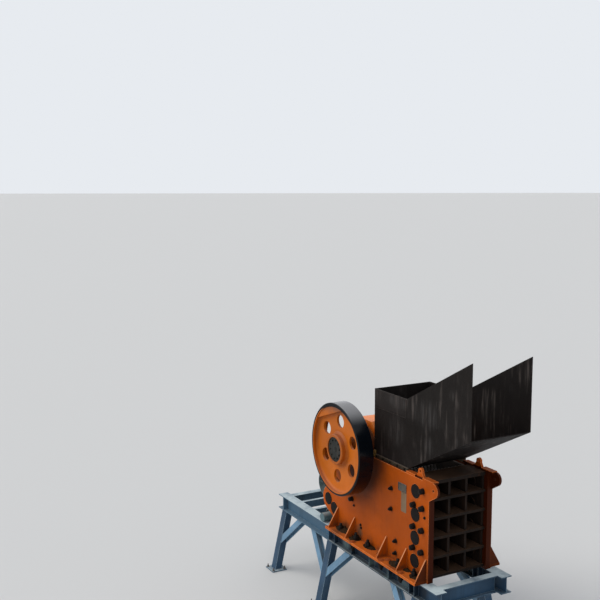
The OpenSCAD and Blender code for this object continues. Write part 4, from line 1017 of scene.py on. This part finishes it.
NODE_PAINT = {
    "orange_paint": ("side_plate_near", "side_plate_far", "bearing_housing_near", "bearing_housing_far"),
    "jaw_paint": ("pitman",),
    "lit_cover_paint": ("pitman_cover",),
    "wheel_paint": ("flywheel", "drive_sheave"),
    "cast_dust_and_shade": ("front_frame", "rear_frame"),
    "manganese": ("fixed_jaw_die", "moving_jaw_die", "cheek_plates_near", "cheek_plates_far"),
    "oiled_steel": (
        "toggle_plate", "toggle_seat", "adjusting_wedges", "tension_rods", "eccentric_shaft", "motor_pulley",
    ),
    "black_cap": ("clamp_ring_near", "clamp_ring_far"),
    "spring_paint": ("tension_springs",),
    "chute_steel": ("chute_wall_near", "chute_wall_far", "chute_wall_rear", "chute_floor"),
    "bearer_steel": ("chute_bearers",),
    "blue_paint": ("main_beam_near", "main_beam_far", "cross_beams", "motor_rails"),
    "leg_paint": (
        "leg_near_rear", "leg_near_middle", "leg_near_front", "leg_far_rear", "leg_far_middle", "leg_far_front",
    ),
    "lit_brace_paint": ("knee_braces_near", "knee_braces_far"),
    "stop_pipe": ("foot_stops",),
    "teal_paint": ("drive_motor",),
    "belt_rubber": ("v_belts",),
}


# ---------------------------------------------------------------- operators


class Dress(bpy.types.Operator):
    """Base of the crusher's operators"""

    bl_options = {"REGISTER", "UNDO"}

    @property
    def sizes(self):
        return bpy.context.scene.crusher_sizes


class PaintNodes(Dress):
    """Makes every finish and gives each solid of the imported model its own"""

    bl_idname = "crusher.paint_nodes"
    bl_label = "Paint the solids"

    def execute(self, context):
        make_paints(bpy.context.scene.crusher_colours)
        done = set()
        for paint, names in NODE_PAINT.items():
            for name in names:
                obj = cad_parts[name]
                if not obj.material_slots:
                    obj.data.materials.append(None)
                for slot in obj.material_slots:
                    slot.material = PAINTS[paint]
                smooth_solid(obj)
                done.add(name)
        missing = set(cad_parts) - done
        if missing:
            raise ValueError(f"no finish for {sorted(missing)}")
        return {"FINISHED"}


class PlateBolts(Dress):
    """Nuts, washers and bolt ends on both side plates"""

    bl_idname = "crusher.plate_bolts"
    bl_label = "Side plate bolts"

    def execute(self, context):
        af = self.sizes.big_nut
        kinds = (
            (nut_rows(af, stud=0.6, washer=0.62, height=0.72, proud=0.15), COLUMN_BOLTS),
            (nut_rows(af * 0.9, stud=0.6, washer=0.62, proud=0.15), REAR_BOLTS),
            (head_rows(af * 0.36), SMALL_BOLTS),
            (CONE_NUT, CONE_BOLTS),
        )
        for side, name in SIDES:
            shapes = [
                fasteners(rows, [at(x, side * HALF_W, z) for x, z in places], (0, side, 0), 3 + k)
                for k, (rows, places) in enumerate(kinds)
            ]
            piece(f"plate_bolts_{name}", joined(*shapes), "greasy_nut")
        return {"FINISHED"}


class FootBolts(Dress):
    """Foot bolts through the foot flanges and the beams' top flanges, and the hung nuts and painted heads"""

    bl_idname = "crusher.foot_bolts"
    bl_label = "Foot bolts"

    def execute(self, context):
        af = self.sizes.foot_nut
        above_rows = nut_rows(af, stud=0.62, washer=0.7, height=0.85, proud=0.55)
        hung_rows = nut_rows(HUNG_NUT, stud=0.6, washer=0.62, proud=0.5)
        for side, name in SIDES:
            y, hung_y = side * FOOT_BOLT_Y, side * HUNG_NUT_Y
            above = fasteners(above_rows, [at(x, y, FLANGE_T) for x in FOOT_BOLT_X], UP, 7)
            under = [at(x, y, -BEAM_TF) for x in (*FOOT_BOLT_X, PLUG_X)]
            below = fasteners(head_rows(af * 0.8), under, DOWN, 8)
            hung = fasteners(hung_rows, [at(x, hung_y, 0) for x in HUNG_NUT_X], DOWN, 18)
            piece(f"foot_bolts_{name}", joined(above, hung, below), "greasy_nut")
            flat = [at(x, hung_y, FLANGE_T) for x in HUNG_NUT_X] + [at(PLUG_X, y, FLANGE_T)]
            heads = fasteners(head_rows(PAINTED_HEAD, height=0.16), flat, UP, 19)
            piece(f"painted_heads_{name}", heads, "orange_bead")
        return {"FINISHED"}


class HousingBolts(Dress):
    """Nuts round the bearing housings' flanges, cover screws and a grease nipple on each"""

    bl_idname = "crusher.housing_bolts"
    bl_label = "Bearing housing bolts"

    def execute(self, context):
        af = self.sizes.housing_nut
        for side, name in SIDES:
            out = (0, side, 0)
            ring = round_places(SHAFT, 12, HOUSING_NUT_R, side * (HALF_W + HOUSING_T), 0.5)
            cover = round_places(SHAFT, 8, COVER_SCREW_R, side * (HALF_W + COVER_T))
            top = (SHAFT[0] + NIPPLE_AT[0], side * (HALF_W + NIPPLE_AT[1]), SHAFT[1] + NIPPLE_AT[2])
            shape = joined(
                fasteners(nut_rows(af), ring, out, 9),
                fasteners(head_rows(af * 0.55), cover, out, 10),
                turned(NIPPLE, top, (0.1, 0, 1), 12),
            )
            piece(f"housing_bolts_{name}", shape, "greasy_nut")
        return {"FINISHED"}


class HubScrews(Dress):
    """Screws in the clamping rings and a centre plug in each, turning with the shaft"""

    bl_idname = "crusher.hub_screws"
    bl_label = "Hub screws"

    def execute(self, context):
        for side, name in SIDES:
            y = side * (HUB_FACE - HUB_SUNK)
            out, ring = (0, side, 0), round_places(SHAFT, 10, HUB_SCREW_R, y, 0.3)
            plug = turned(SHAFT_PLUG, (SHAFT[0], y, SHAFT[1]), out, 32)
            screws = fasteners(head_rows(HUB_SCREW), ring, out, 11)
            piece(f"hub_screws_{name}", joined(screws, plug), "black_cap", body="rotor")
        return {"FINISHED"}


class AnchorNuts(Dress):
    """Anchor nuts and bolt ends on the six base plates"""

    bl_idname = "crusher.anchor_nuts"
    bl_label = "Anchor nuts"

    def execute(self, context):
        places = [
            (FOOT_X - x + i * ANCHOR_OUT, s * LEG_FOOT_Y + j * ANCHOR_OUT, BASE_T)
            for x in LEG_X for s in (-1, 1) for i in (-1, 1) for j in (-1, 1)
        ]
        rows = nut_rows(self.sizes.anchor_nut, stud=0.62, proud=1.0)
        piece("anchor_nuts", fasteners(rows, places, UP, 12), "steel_nut")
        return {"FINISHED"}


class BarePlate(Dress):
    """The near side plate's bare plate: a framed dark field above a pale strip, with screws, no lettering"""

    bl_idname = "crusher.bare_plate"
    bl_label = "Bare plate"

    def execute(self, context):
        w, h = self.sizes.plate_w, BARE_H
        x, y, z = at(BARE_AT[0], -HALF_W, BARE_AT[1])
        strip_x, strip_w, strip_h = FOOT_X - STRIP_AT, STRIP_W, STRIP_H
        strip_z = z - h / 2 - strip_h / 2
        piece("bare_plate_field", soft_box((x, y - 0.002, z), (w, 0.012, h), 0.06), "bare_plate_field")
        border = 0.012
        kx, kz = w / 2 - border, h / 2 - border
        corners = np.array([(-kx, -kz), (kx, -kz), (kx, kz), (-kx, kz)])
        t = np.linspace(0, 4, 81)[:-1]
        i = t.astype(int)
        f = (t - i)[:, None]
        line = corners[i] * (1 - f) + corners[(i + 1) % 4] * f
        path = np.stack([x + line[:, 0], np.full(len(t), y - 0.0085), z + line[:, 1]], -1)
        rim = swept(path, round_section(6, 0.011), closed=True)
        inset = 0.018
        screws = [(x + i * (kx - inset), y - 0.008, z + j * (kz - inset)) for i in (-1, 1) for j in (-1, 1)]
        screws += [(strip_x, y - 0.005, strip_z + s * (strip_h / 2 - 0.03)) for s in (-1, 1)]
        heads = repeated(turned(ROUND_SCREW, (0, 0, 0), UP, 12), screws, (0, -1, 0), 13)
        piece("bare_plate_frame", joined(rim, heads), "bare_plate_dark")
        strip = soft_box((strip_x, y - 0.001, strip_z), (strip_w, 0.008, strip_h - 0.01), 0.06)
        piece("bare_plate_strip", strip, "bare_plate")
        return {"FINISHED"}


class CapStrips(Dress):
    """Strips along the top edges of the side plates, between the lifting eyes and the chute"""

    bl_idname = "crusher.cap_strips"
    bl_label = "Cap strips"

    def execute(self, context):
        for side, name in SIDES:
            centre = at(CAP_X, side * (HALF_W - PLATE_T / 2), PLATE_H + 0.022)
            piece(f"cap_strip_{name}", soft_box(centre, (CAP_LEN, PLATE_T - 0.01, 0.050)), "orange_paint")
        return {"FINISHED"}


class PlateSeams(Dress):
    """Weld beads where the gussets and the foot flanges join the side plates"""

    bl_idname = "crusher.plate_seams"
    bl_label = "Side plate seams"

    def execute(self, context):
        half = GUSSET_T / 2
        starts, ends = [x + half for x in GUSSET_X], [x - half for x in GUSSET_X[1:]] + [FOOT_LEN]
        for side, name in SIDES:
            y = side * HALF_W
            lines = []
            for x in GUSSET_X:
                # The first gusset stands at the foot's end, so that only its rear face has a seam
                for gx in (x - half, x + half) if x > half else (x + half,):
                    foot = at(gx, y, FLANGE_T)
                    lines += [(foot, at(gx, y, GUSSET_H)), (foot, at(gx, y + side * GUSSET_REACH, FLANGE_T))]
            lines += [(at(a, y, FLANGE_T), at(b, y, FLANGE_T)) for a, b in zip(starts, ends)]
            seams = beads(lines, self.sizes.bead, self.sizes.ripple, 20)
            piece(f"plate_seams_{name}", seams, "orange_bead")
        return {"FINISHED"}


class BeamSeams(Dress):
    """Weld beads of the stiffeners in the main beams, of the legs and of their base plates"""

    bl_idname = "crusher.beam_seams"
    bl_label = "Stand seams"

    def execute(self, context):
        top, bottom = -BEAM_TF, -BEAM_H + BEAM_TF
        half, end, over = 0.12, 0.125, BASE_T + 0.001
        out, lean = LEG_D / 2 / math.cos(LEG_LEAN), BASE_T * math.tan(LEG_LEAN)
        for side, name in SIDES:
            lines = []
            for x in STIFF_X:
                for gx in (x - STIFF_T / 2, x + STIFF_T / 2):
                    for o in (-1, 1):
                        y, reach = side * BEAM_Y + o * BEAM_TW / 2, side * BEAM_Y + o * STIFF_REACH
                        lines.append((at(gx, y, top), at(gx, y, bottom)))
                        lines += [(at(gx, y, z), at(gx, reach, z)) for z in (top, bottom)]
            for x in LEG_X:
                leg = FOOT_X - x
                for s in (-1, 1):
                    low = side * LEG_FOOT_Y - side * lean + s * out
                    high = side * BEAM_Y + s * out
                    lines.append(((leg - half, low, over), (leg + half, low, over)))
                    lines.append(((leg + s * end, low - s * 2 * out, over), (leg + s * end, low, over)))
                    lines.append(((leg - half, high, FOOT_Z - BEAM_H), (leg + half, high, FOOT_Z - BEAM_H)))
            seams = beads(lines, self.sizes.bead * 0.8, self.sizes.ripple, 60)
            piece(f"beam_seams_{name}", seams, "blue_bead")
        return {"FINISHED"}


class ChuteTrim(Dress):
    """Doubler plates under the chute's rim, its weld beads and the bolts of its bearers"""

    bl_idname = "crusher.chute_trim"
    bl_label = "Chute trim"

    def execute(self, context):
        x0, x1 = CHUTE_REAR - 0.02, RIM_FOLD + 0.02
        rear_faces = (CHUTE_REAR, CHUTE_REAR - WALL_T)
        run = CHUTE_REACH + CHUTE_FOLD - 0.05
        bolt_x, bolt_z = np.linspace(1.0, 2.2, 5), BEARER_TOP - 0.04
        for side, name in SIDES:
            skin, face, inner = side * (WALL_Y + 0.002), side * WALL_Y, side * (WALL_Y - WALL_T)
            centre = at((x0 + x1) / 2, side * (WALL_Y + BAND_T / 2), CHUTE_TOP - 0.235)
            band = soft_box(centre, (x0 - x1, BAND_T, BAND_H - 0.02), 0.05, 16, 56)
            foot = at(CHUTE_FOLD, inner, BEARER_TOP + 0.022)
            lines = [
                (at(x0, skin, CHUTE_TOP - BAND_H), at(x1, skin, CHUTE_TOP - BAND_H)),
                (at(x1, skin, CHUTE_TOP - BAND_H), at(x1, skin, CHUTE_TOP - 0.02)),
                (at(CHUTE_REAR - 0.005, face, BEARER_TOP), at(CHUTE_FOLD, face, BEARER_TOP)),
                *((at(x, inner, REAR_WALL_FOOT), at(x, inner, CHUTE_TOP - 0.01)) for x in rear_faces),
                (foot, (foot[0] + run, foot[1], foot[2] + run * math.tan(CHUTE_SLOPE))),
            ]
            piece(f"chute_band_{name}", band, "chute_steel")
            piece(f"chute_seams_{name}", beads(lines, 0.008, 0.02, 90), "chute_bead")
            bolts = [at(x, side * (WALL_Y + 0.03), bolt_z) for x in bolt_x]
            piece(f"bearer_bolts_{name}", fasteners(head_rows(0.034), bolts, (0, side, 0), 14), "greasy_nut")
        return {"FINISHED"}


class MotorFittings(Dress):
    """The motor's cowl grille, end shield, lifting eye, terminal box lid, gland and bolts"""

    bl_idname = "crusher.motor_fittings"
    bl_label = "Motor fittings"

    def execute(self, context):
        cx, cz = FOOT_X - MOTOR_X, FOOT_Z + MOTOR_Z
        rear, front = (0, -1, 0), (0, 1, 0)
        radii = np.linspace(0.09, 0.33, 7)
        rings = [ring_tube((cx, COWL_Y - WIRE_R, cz), front, r, WIRE_R, 64, 6) for r in radii]
        reach = np.linspace(0.05, 0.355, 8)
        spokes = []
        for k in angles(8):
            x, z = cx + reach * math.cos(k), cz + reach * math.sin(k)
            path = np.stack([x, np.full(len(reach), COWL_Y - 0.004), z], -1)
            spokes.append(swept(path, round_section(6, 0.007)))
        hub = turned(GRILLE_HUB, (cx, COWL_Y, cz), rear, 32)
        rim = ring_tube((cx, COWL_Y, cz), front, COWL_R, 2 * WIRE_R, 72, 8)
        piece("motor_grille", joined(*rings, *spokes, hub, rim), "teal_paint")
        shield = turned(END_SHIELD, (cx, MOTOR_Y[1] + SHIELD_OUT, cz), front, 72)
        cover = soft_box((cx, sum(MOTOR_Y) / 2, cz + LID_Z), LID_SIZE)
        boss = turned(EYE_BOSS, (cx, EYE_Y, cz + MOTOR_R - 0.002), UP, 24)
        gland = turned(GLAND, (cx + GLAND_AT[0], BOX_Y, cz + GLAND_AT[1]), (1, 0, 0), 24)
        piece("motor_cover", joined(shield, cover, boss, gland), "teal_paint")
        eye = ring_tube((cx, EYE_Y, cz + MOTOR_R + 0.055), (1, 0, 0), 0.042, 0.013, 40, 10)
        piece("motor_lifting_eye", eye, "red_eye")
        ends = round_places((cx, cz), 8, SHIELD_BOLT_R, MOTOR_Y[1] + SHIELD_OUT + 0.019, 0.5)
        feet = [(cx + s * FOOT_NUT_AT[0], y, cz + FOOT_NUT_AT[1]) for s in (-1, 1) for y in FOOT_NUT_Y]
        lid = [
            (cx + s * LID_BOLTS[0], BOX_Y + k * LID_BOLTS[1], cz + LID_Z + 0.014)
            for s in (-1, 1) for k in (-1, 1)
        ]
        bolts = joined(
            fasteners(head_rows(0.03), ends, front, 15),
            fasteners(nut_rows(0.046), feet, UP, 16),
            fasteners(head_rows(0.018), lid, UP, 17),
        )
        piece("motor_bolts", bolts, "steel_nut")
        return {"FINISHED"}


class DirtHeaps(Dress):
    """Dirt and broken stone between the gussets on the near foot flange, and lower heaps on the far one"""

    bl_idname = "crusher.dirt_heaps"
    bl_label = "Dirt heaps"

    def execute(self, context):
        base = FOOT_Z + FLANGE_T
        for (side, name), scale in zip(SIDES, (1.0, 0.6)):
            shapes, stones = [], []
            rng = np.random.default_rng(31 + side)
            near, far = sorted((side * (HALF_W + 0.002), side * (HALF_W + FLANGE_W - 0.03)))
            for k, (x, out, ax, ay, tall, lo, hi) in enumerate(HEAPS):
                cx, limit = FOOT_X - x, (FOOT_X - hi, FOOT_X - lo, near, far)
                h = self.sizes.heap_h * tall * scale
                shapes.append(heap(cx, side * (HALF_W + out), ax, ay, h, base, 40 + k, limit))
                for _ in range(6):
                    u, v = rng.normal(0, 0.45, 2)
                    sx = min(max(cx + u * ax, limit[0] + 0.03), limit[1] - 0.03)
                    sy = HALF_W + min(max(out + v * ay, 0.03), 0.28)
                    stones.append((sx, side * sy, base + 0.006, rng.uniform(0.010, 0.026)))
            for k, (x, y, z, r) in enumerate(stones):
                p, f = stone(70 + k)
                shapes.append((p * [r, r * 0.8, r * 0.7] + [x, y, z], f))
            piece(f"dirt_{name}", joined(*shapes), "dirt", smooth=60)
        return {"FINISHED"}


class Stage(Dress):
    """Pale floor, soft light and the camera at the photograph's place"""

    bl_idname = "crusher.stage"
    bl_label = "Stage"

    def execute(self, context):
        scene = bpy.context.scene
        k, z = FLOOR_HALF, -0.002
        mesh = bpy.data.meshes.new("floor")
        mesh.from_pydata([(-k, -k, z), (k, -k, z), (k, k, z), (-k, k, z)], [], [(0, 1, 2, 3)])
        floor = bpy.data.objects.new("floor", mesh)
        scene.collection.objects.link(floor)
        material = bpy.data.materials.new("pale_floor")
        material.use_nodes = True
        shader = material.node_tree.nodes["Principled BSDF"]
        shader.inputs["Base Color"].default_value = FLOOR_TINT
        shader.inputs["Roughness"].default_value = 0.9
        mesh.materials.append(material)
        world = bpy.data.worlds.new("studio")
        world.use_nodes = True
        n = Nodes(world.node_tree)
        back = world.node_tree.nodes["Background"]
        back.inputs["Color"].default_value = ROUND_TINT
        back.inputs["Strength"].default_value = ROUND_STRENGTH
        plain = n.add("ShaderNodeBackground", {"Color": SKY_TINT, "Strength": 1.0})
        path = n.add("ShaderNodeLightPath").outputs
        mirrored = n.math("MAXIMUM", path["Is Glossy Ray"], path["Is Transmission Ray"])
        seen = n.math("MAXIMUM", path["Is Camera Ray"], mirrored)
        mixed = n.add("ShaderNodeMixShader", {0: seen, 1: back.outputs[0], 2: plain.outputs[0]})
        n.put(world.node_tree.nodes["World Output"].inputs[0], mixed.outputs[0])
        scene.world = world
        for name, direction, strength, angle in LAMPS:
            light = bpy.data.lights.new(name, "SUN")
            light.energy = strength
            light.angle = math.radians(angle)
            light.color = LAMP_TINT
            lamp = bpy.data.objects.new(name, light)
            lamp.rotation_euler = Vector(direction).to_track_quat("-Z", "Y").to_euler()
            scene.collection.objects.link(lamp)
        lens = bpy.data.cameras.new("camera")
        lens.lens = LENS
        lens.sensor_width = SENSOR
        lens.clip_end = 2.25 * FLOOR_HALF
        camera = bpy.data.objects.new("camera", lens)
        turn, dip = CAMERA_TURN, CAMERA_DIP
        camera.location = CAMERA_AT
        look = Vector((-math.sin(turn) * math.cos(dip), math.cos(turn) * math.cos(dip), -math.sin(dip)))
        camera.rotation_euler = look.to_track_quat("-Z", "Y").to_euler()
        scene.collection.objects.link(camera)
        scene.camera = camera
        scene.view_settings.view_transform = "Standard"
        return {"FINISHED"}


OPERATORS = (
    PaintNodes, PlateBolts, FootBolts, HousingBolts, HubScrews, AnchorNuts, BarePlate, CapStrips, PlateSeams,
    BeamSeams, ChuteTrim, MotorFittings, DirtHeaps, Stage,
)


class CrusherPanel(bpy.types.Panel):
    """Lists the crusher's operators, sizes and colours"""

    bl_idname = "VIEW3D_PT_crusher"
    bl_label = "Jaw crusher"
    bl_space_type = "VIEW_3D"
    bl_region_type = "UI"
    bl_category = "Crusher"

    def draw(self, context):
        for operator in OPERATORS:
            self.layout.operator(operator.bl_idname)
        for group in (context.scene.crusher_sizes, context.scene.crusher_colours):
            for name in group.__annotations__:
                self.layout.prop(group, name)


CLASSES = (CrusherSizes, CrusherColours, *OPERATORS, CrusherPanel)


def register():
    for cls in CLASSES:
        bpy.utils.register_class(cls)
    bpy.types.Scene.crusher_sizes = bpy.props.PointerProperty(type=CrusherSizes)
    bpy.types.Scene.crusher_colours = bpy.props.PointerProperty(type=CrusherColours)


def unregister():
    del bpy.types.Scene.crusher_sizes
    del bpy.types.Scene.crusher_colours
    for cls in reversed(CLASSES):
        bpy.utils.unregister_class(cls)


def main():
    register()
    for operator in OPERATORS:
        prefix, name = operator.bl_idname.split(".")
        getattr(getattr(bpy.ops, prefix), name)()


if __name__ == "__main__":
    main()
